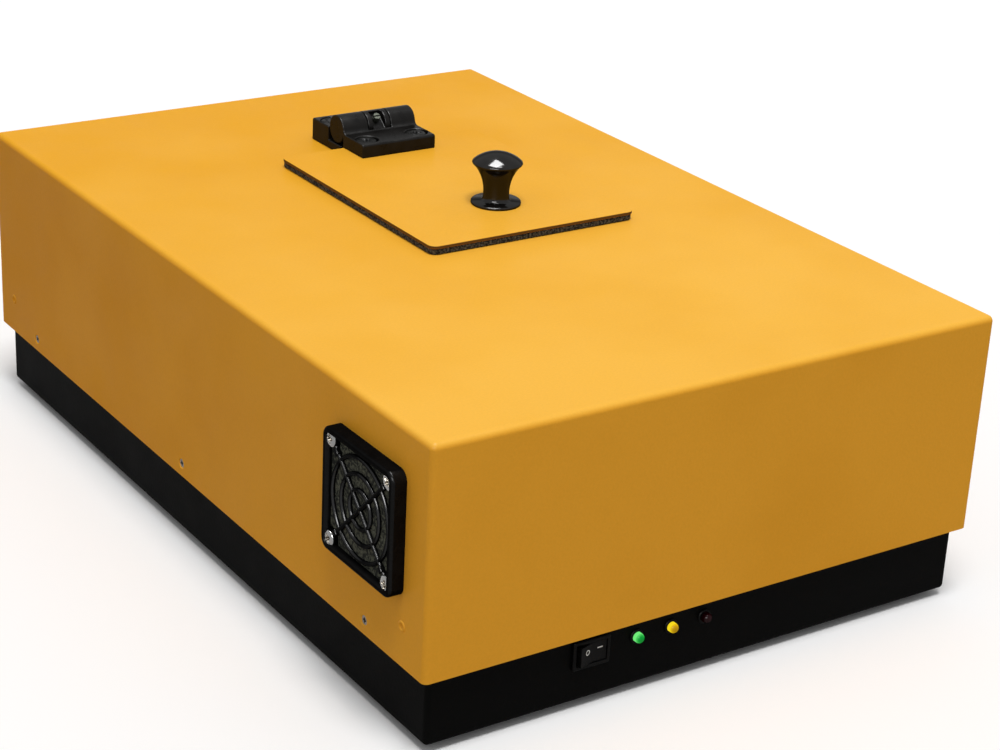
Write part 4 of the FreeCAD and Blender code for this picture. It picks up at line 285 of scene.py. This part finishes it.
def lamp_plastic(name, colour, node=None, glow=None, glow_core_and_highlight=None, level=0.0):
    # Coloured lamp: it glows pale and bright at its foot and deeper towards the tip of the dome;
    # the pale bright part is partly the glow round the chip and partly a painted highlight
    finish, tree, shader = new_finish(name, colour, 0.16, 0.10)
    faded_gloss(tree, shader, 0.10, 0.0)
    point = piece_point(tree)
    swirl = ranged(tree, speckle(tree, point, 1.5 * MM, 2.0), 0.0, 0.5)
    deep = tuple(0.6 * part for part in colour)
    tree.links.new(blended(tree, swirl, colour, deep), shader.inputs["Base Color"])
    if level:
        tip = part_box(node)[0].y
        depth = part_of(tree, point, "Y")
        pale = ranged(tree, depth, 0.0, 0.9, tip + 0.6 * MM, tip + 2.2 * MM)
        bright = ranged(tree, depth, level * 0.35, level, tip + 0.1 * MM, tip + 2.0 * MM)
        tree.links.new(blended(tree, pale, glow, glow_core_and_highlight), shader.inputs["Emission Color"])
        tree.links.new(bright, shader.inputs["Emission Strength"])
    return finish


# Finishes, and the finish of each slot that isn't named like its finish
ORANGE_COAT = {"near": ORANGE_NEAR, "far": ORANGE_FAR, "roughness": 0.38, "specular": 0.06,
               "top_sheen": (TOP_SHEEN_NEAR, TOP_SHEEN_FAR)}
FINISH_KINDS = {
    "orange_paint": (powder_paint, ORANGE_COAT),
    "lid_paint": (powder_paint, {**ORANGE_COAT, "edge": UPRIGHT_BROWN}),
    "black_paint": (powder_paint, {"near": (0.0030, 0.0030, 0.0029),
                                   "far": (0.0042, 0.0044, 0.0042),
                                   "roughness": 0.42, "specular": 0.02}),
    "hinge_plastic": (moulded_plastic, {"colour": (0.0050, 0.0046, 0.0042), "roughness": 0.30,
                                        "specular": 0.12, "edge": (0.12, 0.115, 0.105),
                                        "glancing": 0.03}),
    "knob_gloss": (moulded_plastic, {"colour": (0.0035, 0.003, 0.0026), "roughness": 0.09,
                                     "specular": 0.28, "grain": 2.0, "glancing": 0.005}),
    "guard_plastic": (moulded_plastic, {"colour": (0.0026, 0.0026, 0.0028), "roughness": 0.18,
                                        "specular": 0.30, "glancing": 0.004,
                                        "dull_from": 0.44}),
    "frame_plastic": (moulded_plastic, {"colour": (0.0026, 0.0025, 0.0025), "roughness": 0.26,
                                        "specular": 0.08, "glancing": 0.002,
                                        "dull_from": 0.40}),
    "fan_plastic": (moulded_plastic, {"colour": (0.008, 0.008, 0.008), "roughness": 0.5,
                                      "specular": 0.3}),
    "switch_plastic": (moulded_plastic, {"colour": (0.0032, 0.0032, 0.0032), "roughness": 0.3,
                                         "specular": 0.05, "glancing": 0.01}),
    "mark_white": (moulded_plastic, {"colour": (0.62, 0.62, 0.60), "roughness": 0.5,
                                     "specular": 0.3}),
    "foot_rubber": (moulded_plastic, {"colour": (0.012, 0.012, 0.012), "roughness": 0.7,
                                      "specular": 0.3}),
    "anodised_black": (moulded_plastic, {"colour": (0.008, 0.008, 0.009), "roughness": 0.45,
                                         "specular": 0.2, "glancing": 0.03}),
    "holder_black": (moulded_plastic, {"colour": (0.003, 0.003, 0.003), "roughness": 0.4,
                                       "specular": 0.05, "glancing": 0.01}),
    "screw_black": (moulded_plastic, {"colour": (0.006, 0.006, 0.0055), "roughness": 0.30,
                                      "specular": 0.10, "glancing": 0.02}),
    "board_green": (moulded_plastic, {"colour": (0.01, 0.09, 0.03), "roughness": 0.4,
                                      "specular": 0.4}),
    "lead_sheath": (moulded_plastic, {"colour": (0.012, 0.012, 0.012), "roughness": 0.45,
                                      "specular": 0.4}),
    "screw_steel": (bare_metal, {"colour": (0.52, 0.51, 0.49), "roughness": 0.32}),
    "screw_dull": (bare_metal, {"colour": (0.055, 0.06, 0.048), "roughness": 0.5}),
    "screw_dark": (bare_metal, {"colour": (0.19, 0.17, 0.14), "roughness": 0.30}),
    "screw_chrome": (bare_metal, {"colour": (0.27, 0.27, 0.265), "roughness": 0.17}),
    # Near-black metal for the cross recesses: painted shade inside them
    "recess_shade": (bare_metal, {"colour": (0.012, 0.012, 0.012), "roughness": 0.45}),
    "plate_aluminium": (bare_metal, {"colour": (0.72, 0.73, 0.74), "roughness": 0.38,
                                     "brushed": (1, 0.05, 1)}),
    "copper_winding": (bare_metal, {"colour": (0.75, 0.36, 0.2), "roughness": 0.35,
                                    "brushed": (1, 1, 12)}),
    "mirror_coating": (bare_metal, {"colour": (0.9, 0.9, 0.9), "roughness": 0.07}),
    "contact_metal": (bare_metal, {"colour": (0.8, 0.72, 0.5), "roughness": 0.25}),
    "gasket_foam": (open_foam, {"dark": (0.008, 0.008, 0.007), "light": (0.10, 0.10, 0.09),
                                "cell": 0.9}),
    "filter_foam": (open_foam, {"dark": (0.010, 0.011, 0.008), "light": (0.11, 0.115, 0.085),
                                "cell": 1.1}),
    "lens_glass": (clear_glass, {"tone": (0.95, 0.98, 1.0)}),
    "lamp_green": (lamp_plastic, {"colour": (0.0, 0.14, 0.02), "node": "led_green",
                                  "glow": (0.0, 0.58, 0.05), "glow_core_and_highlight": (0.22, 1.0, 0.25),
                                  "level": 0.85}),
    "lamp_yellow": (lamp_plastic, {"colour": (0.25, 0.12, 0.0), "node": "led_yellow",
                                   "glow": (0.85, 0.50, 0.0), "glow_core_and_highlight": (1.0, 0.80, 0.02),
                                   "level": 0.90}),
    "lamp_red": (lamp_plastic, {"colour": (0.018, 0.0005, 0.002)}),
}
FINISHES = {name: kind(name, **looks) for name, (kind, looks) in FINISH_KINDS.items()}
FINISH_OF_SLOT = {
    "cover_paint": "orange_paint",
    "base_paint": "black_paint",
    "hinge_black": "hinge_plastic",
    "knob_black": "knob_gloss",
    "guard_black": "guard_plastic",
    "fan_black": "fan_plastic",
    "switch_black": "switch_plastic",
}


def dress_frame():
    for part in frame["record"]["subparts"]:
        slot = part["material_slot"]
        finish = FINISHES[FINISH_OF_SLOT.get(slot, slot)]
        node = frame["nodes"][part["node"]]
        if not node.material_slots:
            node.data.materials.append(finish)
        for place in node.material_slots:
            place.material = finish


# Shapes, with their sizes given in millimetres
SHARP_TURN = math.radians(32)


def copied(name):
    # A node's mesh with its triangles joined and its flat faces made whole
    shape = bmesh.new()
    shape.from_mesh(frame["nodes"][name].data)
    bmesh.ops.remove_doubles(shape, verts=shape.verts, dist=0.002 * MM)
    bmesh.ops.dissolve_limit(shape, angle_limit=math.radians(0.4), verts=shape.verts,
                             edges=shape.edges)
    return shape


def fitted(shape, low, high):
    # Stretch to a box with these two corners, where x starts at the middle of the case
    first = [min(vert.co[axis] for vert in shape.verts) for axis in range(3)]
    last = [max(vert.co[axis] for vert in shape.verts) for axis in range(3)]
    for vert in shape.verts:
        for axis in range(3):
            share = (vert.co[axis] - first[axis]) / (last[axis] - first[axis])
            vert.co[axis] = (low[axis] + share * (high[axis] - low[axis])) * MM
    bmesh.ops.translate(shape, vec=(CASE_MIDDLE, 0, 0), verts=shape.verts)


def rounded_edges(shape, width, segments):
    sharp = [edge for edge in shape.edges
             if edge.is_manifold and edge.calc_face_angle() > SHARP_TURN]
    bmesh.ops.bevel(shape, geom=sharp, affect="EDGES", offset=width * MM, offset_type="OFFSET",
                    segments=segments, profile=0.5, material=-1, clamp_overlap=False)


def made_piece(name, shape, body, finish, smooth_turn, node=None, second=None):
    mesh = bpy.data.meshes.new(name)
    shape.to_mesh(mesh)
    shape.free()
    mesh.polygons.foreach_set("use_smooth", [True] * len(mesh.polygons))
    mesh.set_sharp_from_angle(angle=math.radians(smooth_turn))
    mesh.materials.append(FINISHES[finish])
    if second:
        mesh.materials.append(FINISHES[second])
    piece = bpy.data.objects.new(name, mesh)
    bpy.context.scene.collection.objects.link(piece)
    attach(piece, body)
    if node:
        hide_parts(node)
    return piece


def evened(piece):
    # Shading that keeps large flat faces flat beside their rounded edges
    piece.modifiers.new("evened", "WEIGHTED_NORMAL").keep_sharp = True


def softened(name, body, finish, width, segments=2, box=None):
    # A node's own shape with rounded edges, stretched to a box where one is given
    shape = copied(name)
    if box:
        fitted(shape, *box)
    rounded_edges(shape, width, segments)
    evened(made_piece(name + "_soft", shape, body, finish, 40, name))


def add_shape(shape, other, matrix):
    # Put a finished shape into another at its place
    mesh = bpy.data.meshes.new("scratch")
    bmesh.ops.transform(other, matrix=matrix, verts=other.verts)
    other.to_mesh(mesh)
    other.free()
    shape.from_mesh(mesh)
    bpy.data.meshes.remove(mesh)


def facing(place, direction, twist=0.0):
    # Turns +Z to the direction and moves to the place
    turn = direction.to_track_quat("Z", "Y").to_matrix().to_4x4()
    return Matrix.Translation(place) @ turn @ Matrix.Rotation(twist, 4, "Z")


def turned_shape(outline, steps):
    # Lathe work: pairs of radius and height, from the axis to the axis or round to the start
    shape = bmesh.new()
    verts = [shape.verts.new((radius * MM, 0, height * MM)) for radius, height in outline]
    edges = [shape.edges.new(pair) for pair in zip(verts, verts[1:])]
    bmesh.ops.spin(shape, geom=verts + edges, cent=(0, 0, 0), axis=(0, 0, 1),
                   angle=2 * math.pi, steps=steps, use_merge=True)
    bmesh.ops.remove_doubles(shape, verts=shape.verts, dist=0.0005 * MM)
    bmesh.ops.recalc_face_normals(shape, faces=shape.faces)
    return shape


def met(node, start, direction):
    # Where a line first meets a node, and the way the surface looks there
    mesh = frame["nodes"][node].data
    tree = BVHTree.FromPolygons([vert.co for vert in mesh.vertices],
                                [face.vertices for face in mesh.polygons])
    place, normal = tree.ray_cast(start, direction)[:2]
    return place, normal


# Lid and torque hinge, measured from the photo; x starts at the middle of the case
LID_LEFT = -43.75
LID_FRONT = -45.95
LID_WIDTH = 127.5
LID_DEPTH = 160.5
LID_BACK = LID_FRONT + LID_DEPTH
SEAL_FOOT = 156.1
SEAL_HEIGHT = 3.3
SEAL_INSET = 0.3
LID_FOOT = SEAL_FOOT + SEAL_HEIGHT
LID_THICK = 1.7
LID_TOP = LID_FOOT + LID_THICK
HINGE_LEFT = -3.75
HINGE_WIDTH = 47.5
HINGE_TOP = 178.0
LID_LEAF_FRONT = 92.55
LID_LEAF_DEPTH = 38.0
COVER_LEAF_FOOT = 156.0
COVER_LEAF_DEPTH = 36.0


def corners(left, front, foot, width, depth, height):
    return (left, front, foot), (left + width, front + depth, foot + height)


LID_BOX = corners(LID_LEFT, LID_FRONT, LID_FOOT, LID_WIDTH, LID_DEPTH, LID_THICK)
SEAL_BOX = corners(LID_LEFT + SEAL_INSET, LID_FRONT + SEAL_INSET, SEAL_FOOT,
                   LID_WIDTH - 2 * SEAL_INSET, LID_DEPTH - 2 * SEAL_INSET, SEAL_HEIGHT)
LID_LEAF_BOX = corners(HINGE_LEFT, LID_LEAF_FRONT, LID_TOP,
                       HINGE_WIDTH, LID_LEAF_DEPTH, HINGE_TOP - LID_TOP)
COVER_LEAF_BOX = corners(HINGE_LEFT, LID_BACK, COVER_LEAF_FOOT,
                         HINGE_WIDTH, COVER_LEAF_DEPTH, HINGE_TOP - COVER_LEAF_FOOT)

# Knob: where it stands on the lid, and its outline from the foot up
KNOB_RIGHT = 22.9
KNOB_BACK = -2.7
KNOB_OUTLINE = (
    (0, 0), (13.1, 0), (13.5, 0.4), (13.5, 1.3), (13.1, 1.7), (8.4, 1.85), (7.5, 2.3),
    (7.15, 3.2), (7.0, 5.0), (7.0, 7.5), (7.25, 10), (7.9, 13), (9.0, 16), (10.6, 19),
    (12.5, 21.5), (13.3, 22.2), (13.6, 22.8), (13.4, 23.4), (12.0, 24.6), (10.0, 25.9),
    (7.5, 27.1), (5.0, 27.95), (2.5, 28.45), (0, 28.6))


def mushroom_knob():
    # Round foot, waisted neck and domed head in one turned piece
    knob = turned_shape(KNOB_OUTLINE, 64)
    place = Vector((CASE_MIDDLE / MM + KNOB_RIGHT, KNOB_BACK, LID_TOP)) * MM
    bmesh.ops.translate(knob, vec=place, verts=knob.verts)
    made_piece("mushroom_knob", knob, "lid", "knob_gloss", 60, "lid_knob")


# Screws: their cross recess in shares of the head's radius
RECESS_REACH = 0.5
RECESS_HALF = 0.13
RECESS_DEPTH = 0.42
RECESS_SLOPE = 0.03


def cross_head(radius, dome, side):
    # Screw head with a cross recess, its seat at height 0 and its top outwards
    shape = bmesh.new()
    bmesh.ops.create_grid(shape, x_segments=5, y_segments=5, size=1)
    stations = {-5: -1, -3: -RECESS_REACH, -1: -RECESS_HALF,
                1: RECESS_HALF, 3: RECESS_REACH, 5: 1}
    for vert in shape.verts:
        vert.co.x = stations[round(vert.co.x * 5)]
        vert.co.y = stations[round(vert.co.y * 5)]
        if max(abs(vert.co.x), abs(vert.co.y)) == 1:
            vert.co.xy = vert.co.xy.normalized()
        vert.co.z = dome / radius * (1 - vert.co.xy.length_squared)
    cross = [face for face in shape.faces
             if face.calc_center_median().xy.length < RECESS_REACH
             and min(abs(part) for part in face.calc_center_median().xy) < RECESS_HALF]
    sunk = bmesh.ops.inset_region(shape, faces=cross, thickness=RECESS_SLOPE,
                                  use_even_offset=True)
    # The cross recess takes the screw's second finish, a darker metal that paints the shade inside
    # the recess
    for face in cross + sunk["faces"]:
        face.material_index = 1
    bmesh.ops.translate(shape, vec=(0, 0, -RECESS_DEPTH),
                        verts=list({vert for face in cross for vert in face.verts}))
    rim = [edge for edge in shape.edges if edge.is_boundary]
    wall = bmesh.ops.extrude_edge_only(shape, edges=rim)["geom"]
    low = [part for part in wall if isinstance(part, bmesh.types.BMVert)]
    bmesh.ops.translate(shape, vec=(0, 0, -side / radius), verts=low)
    rim = [part for part in wall if isinstance(part, bmesh.types.BMEdge)
           and all(vert in low for vert in part.verts)]
    base = bmesh.ops.extrude_edge_only(shape, edges=rim)["geom"]
    under = [part for part in base if isinstance(part, bmesh.types.BMVert)]
    bmesh.ops.scale(shape, vec=(0.5, 0.5, 1), verts=under)
    bmesh.ops.translate(shape, vec=(0, 0, side / radius), verts=shape.verts)
    bmesh.ops.scale(shape, vec=(radius * MM,) * 3, verts=shape.verts)
    bmesh.ops.recalc_face_normals(shape, faces=shape.faces)
    return shape


def screw_shape(seats, head_r, dome, side, shank_r, length):
    # seats: where each head rests, the way it looks, and how far its cross is turned
    shape = bmesh.new()
    for place, direction, twist in seats:
        add_shape(shape, cross_head(head_r, dome, side), facing(place, direction, twist))
        shank = turned_shape([(0, 0.1), (shank_r, 0.1), (shank_r, 0.3 - length), (0, -length)],
                             14)
        add_shape(shape, shank, facing(place, direction))
    return shape


def screw_piece(name, shape, body, finish, node, recess="recess_shade"):
    piece = made_piece(name, shape, body, finish, 50, node, recess)
    fine = piece.modifiers.new("fine", "SUBSURF")
    fine.levels = fine.render_levels = 2


# Hinge screws: place across the hinge and turn of the cross
HINGE_SCREWS = ((3.1, 0.5), (35.6, 1.2))
HINGE_SCREW = {"head_r": 6.0, "dome": 0.25, "side": 1.0, "shank_r": 2.0}
HINGE_SCREW_SUNK = 1.3
HINGE_NODE_HEAD_R = 3.9
HINGE_PROBE = 7.2
ABOVE_ALL = 0.2
KNOB_SCREW = {"head_r": 3.9, "dome": 0.6, "side": 1.8, "shank_r": 2.0, "length": 11.5}
KNOB_SCREW_SEAT = 2.4


def leaf_top(leaf, x, y):
    # Height of a leaf's flat face just in front of and behind a screw
    probes = [Vector((x, y + step * MM, ABOVE_ALL)) for step in (-HINGE_PROBE, HINGE_PROBE)]
    return min(met(leaf, probe, DOWN)[0].z for probe in probes)


def knob_screw(foot):
    low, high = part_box("lid_knob")
    place = Vector(((low.x + high.x) / 2, (low.y + high.y) / 2, foot + KNOB_SCREW_SEAT * MM))
    return screw_shape([(place, DOWN, 0.2)], **KNOB_SCREW)


def hinge_screws():
    # Low black heads, nearly level with both leaves, and the screw under the knob
    for name, node, leaf, body in (
            ("hinge_lid_screws", "lid_screws", "hinge_lid_leaf", "lid"),
            ("hinge_base_screws", "hinge_cover_screws", "hinge_cover_leaf", "case")):
        low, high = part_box(node)
        y = high.y - HINGE_NODE_HEAD_R * MM
        seats = []
        for side, turn in HINGE_SCREWS:
            x = CASE_MIDDLE + side * MM
            top = leaf_top(leaf, x, y)
            seats.append((Vector((x, y, top - HINGE_SCREW_SUNK * MM)), UP, turn))
        length = (top - low.z) / MM - HINGE_SCREW_SUNK
        shape = screw_shape(seats, length=length, **HINGE_SCREW)
        if body == "lid":
            add_shape(shape, knob_screw(low.z), Matrix.Identity(4))
        screw_piece(name, shape, body, "screw_black", node)


# Screws along the cover's lower edge and in the mains inlet
SIDE_SCREW_PLACES = (-186.0, 0.0, 186.0)
SIDE_SCREW_Z = 46.95
SIDE_SCREW_SUNK = 1.1
SIDE_SCREW = {"head_r": 2.6, "dome": 0.15, "side": 0.7, "shank_r": 1.5, "length": 9}
INLET_SCREW_REACH = 20
INLET_RIM = 1.5


def side_screws():
    # Countersunk screws along both sides, their heads a little below the paint
    seats = []
    for y in SIDE_SCREW_PLACES:
        for x, way in ((COVER_LOW.x, -1), (COVER_HIGH.x, 1)):
            place = Vector((x - way * SIDE_SCREW_SUNK * MM, y * MM, SIDE_SCREW_Z * MM))
            seats.append((place, Vector((way, 0, 0)), 0.3 + 0.01 * y))
    inlet_low, inlet_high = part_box("mains_inlet")
    inlet = (inlet_low + inlet_high) / 2
    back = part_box("base_tray")[1].y
    for side in (-INLET_SCREW_REACH, INLET_SCREW_REACH):
        place = Vector((inlet.x + side * MM, back + INLET_RIM * MM, inlet.z))
        seats.append((place, BACKWARD, 0.7))
    screw_piece("side_screws", screw_shape(seats, **SIDE_SCREW), "case",
                "screw_dark", "flat_screws")


# Rivets near the corners of both sides: dimpled head, shank and closed end
RIVET_REACH = 218.5
RIVET_Z = 60
RIVET_OUTLINE = (
    (0, -0.7), (0.9, -0.6), (1.5, 0.1), (1.9, 0.3), (2.4, 0.26), (2.75, 0.05), (2.95, -0.3),
    (1.6, -1.4), (1.6, -2.1), (2.5, -2.1), (2.5, -3.0), (0, -3.0))


def painted_rivets():
    shape = bmesh.new()
    for y in (-RIVET_REACH, RIVET_REACH):
        for x, way in ((COVER_LOW.x, -1), (COVER_HIGH.x, 1)):
            place = Vector((x, y * MM, RIVET_Z * MM))
            add_shape(shape, turned_shape(RIVET_OUTLINE, 32), facing(place, Vector((way, 0, 0))))
    made_piece("painted_rivets", shape, "case", "orange_paint", 50,
               "cover_rivets")


# Fan guard, measured from the middle of its back
GUARD_LOW, GUARD_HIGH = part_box("fan_guard")
GUARD_PLACE = Vector((GUARD_HIGH.x, (GUARD_LOW.y + GUARD_HIGH.y) / 2,
                      (GUARD_LOW.z + GUARD_HIGH.z) / 2))
GUARD_SIDE = 59.0
GUARD_RISE = 6.2
GUARD_CORNER = 4.2
GUARD_WALL = 1.2
# Width and rise of each step from the rim inwards
GUARD_STEPS = ((0.45, 0), (0.6, 0), (0.5, -0.6), (0.05, -1.3))
SCREW_REACH = 25.0
SCREW_SEAT = 5.6
CUP_HOLE_R = 2.2
CUP_R = 4.3
CUP_FOOT = 0.2
CUP_ROUND = 0.1
GRILLE_SUNK = 0.3
RING_RADII = (24.5, 16.6, 9.2)
RING_THICK = 1.1
RING_DEPTH = 1.15
BAR_THICK = 1.2
BAR_RISE = 0.1
NUB_SIDE = 3
NUB_INSET = 6.95
NUB_SUNK = 0.9
GUARD_SCREW = {"head_r": 4.3, "dome": 0.9, "side": 0.8, "shank_r": 2.0, "length": 33.1}


def guard_frame():
    # Square rim with rounded corners and a stepped inner edge, and a cup under each screw
    shape = bmesh.new()
    bmesh.ops.create_grid(shape, x_segments=1, y_segments=1, size=GUARD_SIDE / 2 * MM)
    bmesh.ops.bevel(shape, geom=shape.verts[:], affect="VERTICES", offset=GUARD_CORNER * MM,
                    segments=8, profile=0.5, material=-1)
    front = shape.faces[:]
    rise = bmesh.ops.extrude_face_region(shape, geom=front)["geom"]
    top = [part for part in rise if isinstance(part, bmesh.types.BMFace)]
    bmesh.ops.translate(shape, vec=(0, 0, GUARD_RISE * MM),
                        verts=list({vert for face in top for vert in face.verts}))
    bmesh.ops.delete(shape, geom=front, context="FACES_ONLY")
    for width, step in GUARD_STEPS:
        bmesh.ops.inset_region(shape, faces=top, thickness=width * MM, depth=step * MM)
    bmesh.ops.delete(shape, geom=top, context="FACES")
    outer = [edge for edge in shape.edges if not edge.is_boundary
             and edge.calc_face_angle() > math.radians(60)]
    bmesh.ops.bevel(shape, geom=outer, affect="EDGES", offset=0.4 * MM, segments=3, profile=0.5,
                    material=-1, clamp_overlap=True)
    bmesh.ops.recalc_face_normals(shape, faces=shape.faces)
    bmesh.ops.solidify(shape, geom=shape.faces[:], thickness=-GUARD_WALL * MM)
    cup_outline = [(CUP_HOLE_R, SCREW_SEAT), (CUP_R - CUP_ROUND, SCREW_SEAT),
                   (CUP_R, SCREW_SEAT - CUP_ROUND), (CUP_R, CUP_FOOT), (CUP_HOLE_R, CUP_FOOT),
                   (CUP_HOLE_R, SCREW_SEAT)]
    for x in (-SCREW_REACH, SCREW_REACH):
        for y in (-SCREW_REACH, SCREW_REACH):
            add_shape(shape, turned_shape(cup_outline, 40),
                      Matrix.Translation((x * MM, y * MM, 0)))
    bmesh.ops.transform(shape, matrix=facing(GUARD_PLACE, LEFT), verts=shape.verts)
    evened(made_piece("guard_frame", shape, "case", "frame_plastic", 45,
                      "fan_guard"))


def grille_ring(radius, height):
    # Ring of oval section about the guard's axis
    ring = bmesh.new()
    section = bmesh.ops.create_circle(ring, cap_ends=False, segments=12, radius=MM)["verts"]
    bmesh.ops.scale(ring, vec=(RING_THICK, RING_DEPTH, 1), verts=section)
    place = Matrix.Translation((radius * MM, 0, height * MM))
    bmesh.ops.transform(ring, matrix=place @ Matrix.Rotation(math.pi / 2, 4, "X"),
                        verts=section)
    bmesh.ops.spin(ring, geom=ring.verts[:] + ring.edges[:], cent=(0, 0, 0), axis=(0, 0, 1),
                   angle=2 * math.pi, steps=72, use_merge=True)
    bmesh.ops.recalc_face_normals(ring, faces=ring.faces)
    return ring


def grille_bar(length):
    bar = bmesh.new()
    bmesh.ops.create_cone(bar, cap_ends=True, segments=12, radius1=MM, radius2=MM,
                          depth=length * MM)
    bmesh.ops.transform(bar, matrix=Matrix.Rotation(math.pi / 2, 4, "Y"), verts=bar.verts)
    bmesh.ops.scale(bar, vec=(1, BAR_THICK, BAR_THICK), verts=bar.verts)
    return bar


def grille_nub():
    nub = bmesh.new()
    bmesh.ops.create_cube(nub, size=NUB_SIDE * MM)
    bmesh.ops.bevel(nub, geom=nub.edges[:], affect="EDGES", offset=0.4 * MM, segments=2,
                    profile=0.5, material=-1)
    return nub


def guard_grille():
    # Round-edged rings with two crossing bars and a square nub where each bar meets the rim
    shape = bmesh.new()
    face = GUARD_RISE - GRILLE_SUNK
    for radius in RING_RADII:
        add_shape(shape, grille_ring(radius, face - RING_DEPTH), Matrix.Identity(4))
    reach = SCREW_REACH * math.sqrt(2)
    for turn in (45, 135):
        spin = Matrix.Rotation(math.radians(turn), 4, "Z")
        bar_place = Matrix.Translation((0, 0, (face - BAR_THICK + BAR_RISE) * MM))
        add_shape(shape, grille_bar(2 * (reach - CUP_R)), spin @ bar_place)
        for side in (-1, 1):
            nub_place = Matrix.Translation((side * (reach - NUB_INSET) * MM, 0,
                                            (face - NUB_SUNK) * MM))
            add_shape(shape, grille_nub(), spin @ nub_place)
    bmesh.ops.transform(shape, matrix=facing(GUARD_PLACE, LEFT), verts=shape.verts)
    made_piece("guard_grille", shape, "case", "guard_plastic", 50)


def guard_screws():
    seats = []
    for y, twist in ((-SCREW_REACH, 0.4), (SCREW_REACH, 1.1)):
        for z in (-SCREW_REACH, SCREW_REACH):
            place = GUARD_PLACE + Vector((-SCREW_SEAT, y, z)) * MM
            seats.append((place, LEFT, twist + 0.02 * z))
    # Their cross recesses take the darker screw metal as painted shade
    screw_piece("guard_screws", screw_shape(seats, **GUARD_SCREW), "case",
                "screw_chrome", "fan_screws", "screw_dark")


# Marks on the rocker: right and up from the middle of the switch
RING_MARK_PLACE = (-3.0, 1.3)
RING_MARK_OUTLINE = ((0.95, 0.04), (1.4, 0.04), (1.4, -0.1), (0.95, -0.1), (0.95, 0.04))
BAR_MARK_PLACE = (4.6, 1.9)
BAR_MARK_SIZE = (3.0, 0.62, 0.14)
BEFORE_ALL = -0.3


def on_rocker(right, up):
    low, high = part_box("switch_body")
    middle = (low + high) / 2
    start = Vector((middle.x + right * MM, BEFORE_ALL, middle.z + up * MM))
    return facing(*met("switch_rocker", start, BACKWARD))


def rocker_marks():
    # A ring on the raised half and a bar on the pressed half
    shape = bmesh.new()
    add_shape(shape, turned_shape(RING_MARK_OUTLINE, 28), on_rocker(*RING_MARK_PLACE))
    bar = bmesh.new()
    bmesh.ops.create_cube(bar, size=1 * MM)
    bmesh.ops.scale(bar, vec=BAR_MARK_SIZE, verts=bar.verts)
    bmesh.ops.bevel(bar, geom=bar.edges[:], affect="EDGES", offset=0.05 * MM, segments=1,
                    profile=0.5, material=-1)
    add_shape(shape, bar, on_rocker(*BAR_MARK_PLACE))
    made_piece("rocker_marks", shape, "rocker", "mark_white", 50)


# Foam: rough open cells on soft-edged pads
def foam_pad(name, node, body, finish, cell, swell, box=None):
    shape = copied(node)
    if box:
        fitted(shape, *box)
    piece = made_piece(name, shape, body, finish, 60, node)
    cells = piece.modifiers.new("cells", "REMESH")
    cells.mode = "VOXEL"
    cells.voxel_size = cell * MM
    cells.use_smooth_shade = True
    noise = bpy.data.textures.new(name, "CLOUDS")
    noise.noise_scale = 2.2 * cell * MM
    noise.noise_depth = 1
    rough = piece.modifiers.new("rough", "DISPLACE")
    rough.texture = noise
    rough.texture_coords = "LOCAL"
    rough.strength = swell * MM
    rough.mid_level = 0.6


# Floor, sky and lamps
def seen_or_mirrored(tree):
    # 1 for rays from the camera, from gloss and through glass
    path = add_node(tree, "LightPath")
    most = path.outputs["Is Camera Ray"]
    for name in ("Is Glossy Ray", "Is Transmission Ray"):
        most = reckoned(tree, "MAXIMUM", most, path.outputs[name])
    return most


def white_sky():
    world = bpy.data.worlds.new("sky")
    world.use_nodes = True
    bpy.context.scene.world = world
    tree = world.node_tree
    sky = tree.nodes["Background"]
    sky.inputs["Color"].default_value = (1, 1, 1, 1)
    tree.links.new(ranged(tree, seen_or_mirrored(tree), SKY_LEVEL, 1.0, 0.0, 1.0),
                   sky.inputs["Strength"])


def soft_sun():
    data = bpy.data.lights.new("sun", "SUN")
    data.energy = SUN_LEVEL * math.pi / SUN_DIRECTION.normalized().z
    data.angle = SUN_SPREAD
    sun = bpy.data.objects.new("sun", data)
    sun.rotation_euler = SUN_DIRECTION.to_track_quat("Z", "Y").to_euler()
    bpy.context.scene.collection.objects.link(sun)


def gloss_lamp(name, place, size, level):
    # A lamp over or beside the table that only shows in gloss
    data = bpy.data.lights.new(name, "AREA")
    data.shape = "RECTANGLE"
    data.size, data.size_y = size
    data.energy = level * math.pi * size[0] * size[1]
    lamp = bpy.data.objects.new(name, data)
    lamp.location = place
    lamp.rotation_euler = place.to_track_quat("Z", "Y").to_euler()
    lamp.visible_diffuse = False
    bpy.context.scene.collection.objects.link(lamp)


def white_floor():
    shape = bmesh.new()
    bmesh.ops.create_grid(shape, x_segments=1, y_segments=1, size=FLOOR_HALF)
    mesh = bpy.data.meshes.new("floor")
    shape.to_mesh(mesh)
    shape.free()
    floor = bpy.data.objects.new("floor", mesh)
    bpy.context.scene.collection.objects.link(floor)
    finish, tree, shader = new_finish("floor_white", (1, 1, 1), 1.0, 0.0)
    tree.links.new(blended(tree, seen_or_mirrored(tree), FLOOR_BOUNCE, (1, 1, 1)),
                   shader.inputs["Base Color"])
    mesh.materials.append(finish)


def studio():
    white_sky()
    soft_sun()
    for name, (place, size, level) in GLOSS_LAMPS.items():
        gloss_lamp(name, place, size, level)
    white_floor()


camera()
studio()
dress_frame()
softened("hinge_lid_leaf", "lid", "hinge_plastic", 0.6, 3, LID_LEAF_BOX)
softened("hinge_cover_leaf", "case", "hinge_plastic", 0.6, 3, COVER_LEAF_BOX)
softened("lid_panel", "lid", "lid_paint", 0.3, 2, LID_BOX)
mushroom_knob()
softened("switch_body", "case", "switch_plastic", 0.35)
softened("switch_rocker", "rocker", "switch_plastic", 0.3)
softened("led_holders", "case", "holder_black", 0.2)
softened("torque_screw", "case", "screw_dull", 0.2)
guard_frame()
guard_grille()
guard_screws()
side_screws()
hinge_screws()
painted_rivets()
rocker_marks()
foam_pad("filter_pad", "filter_foam", "case", "filter_foam", 0.55, 0.5)
foam_pad("lid_seal", "lid_gasket", "lid", "gasket_foam", 0.6, 0.4, SEAL_BOX)

bpy.context.scene.view_settings.view_transform = "Standard"
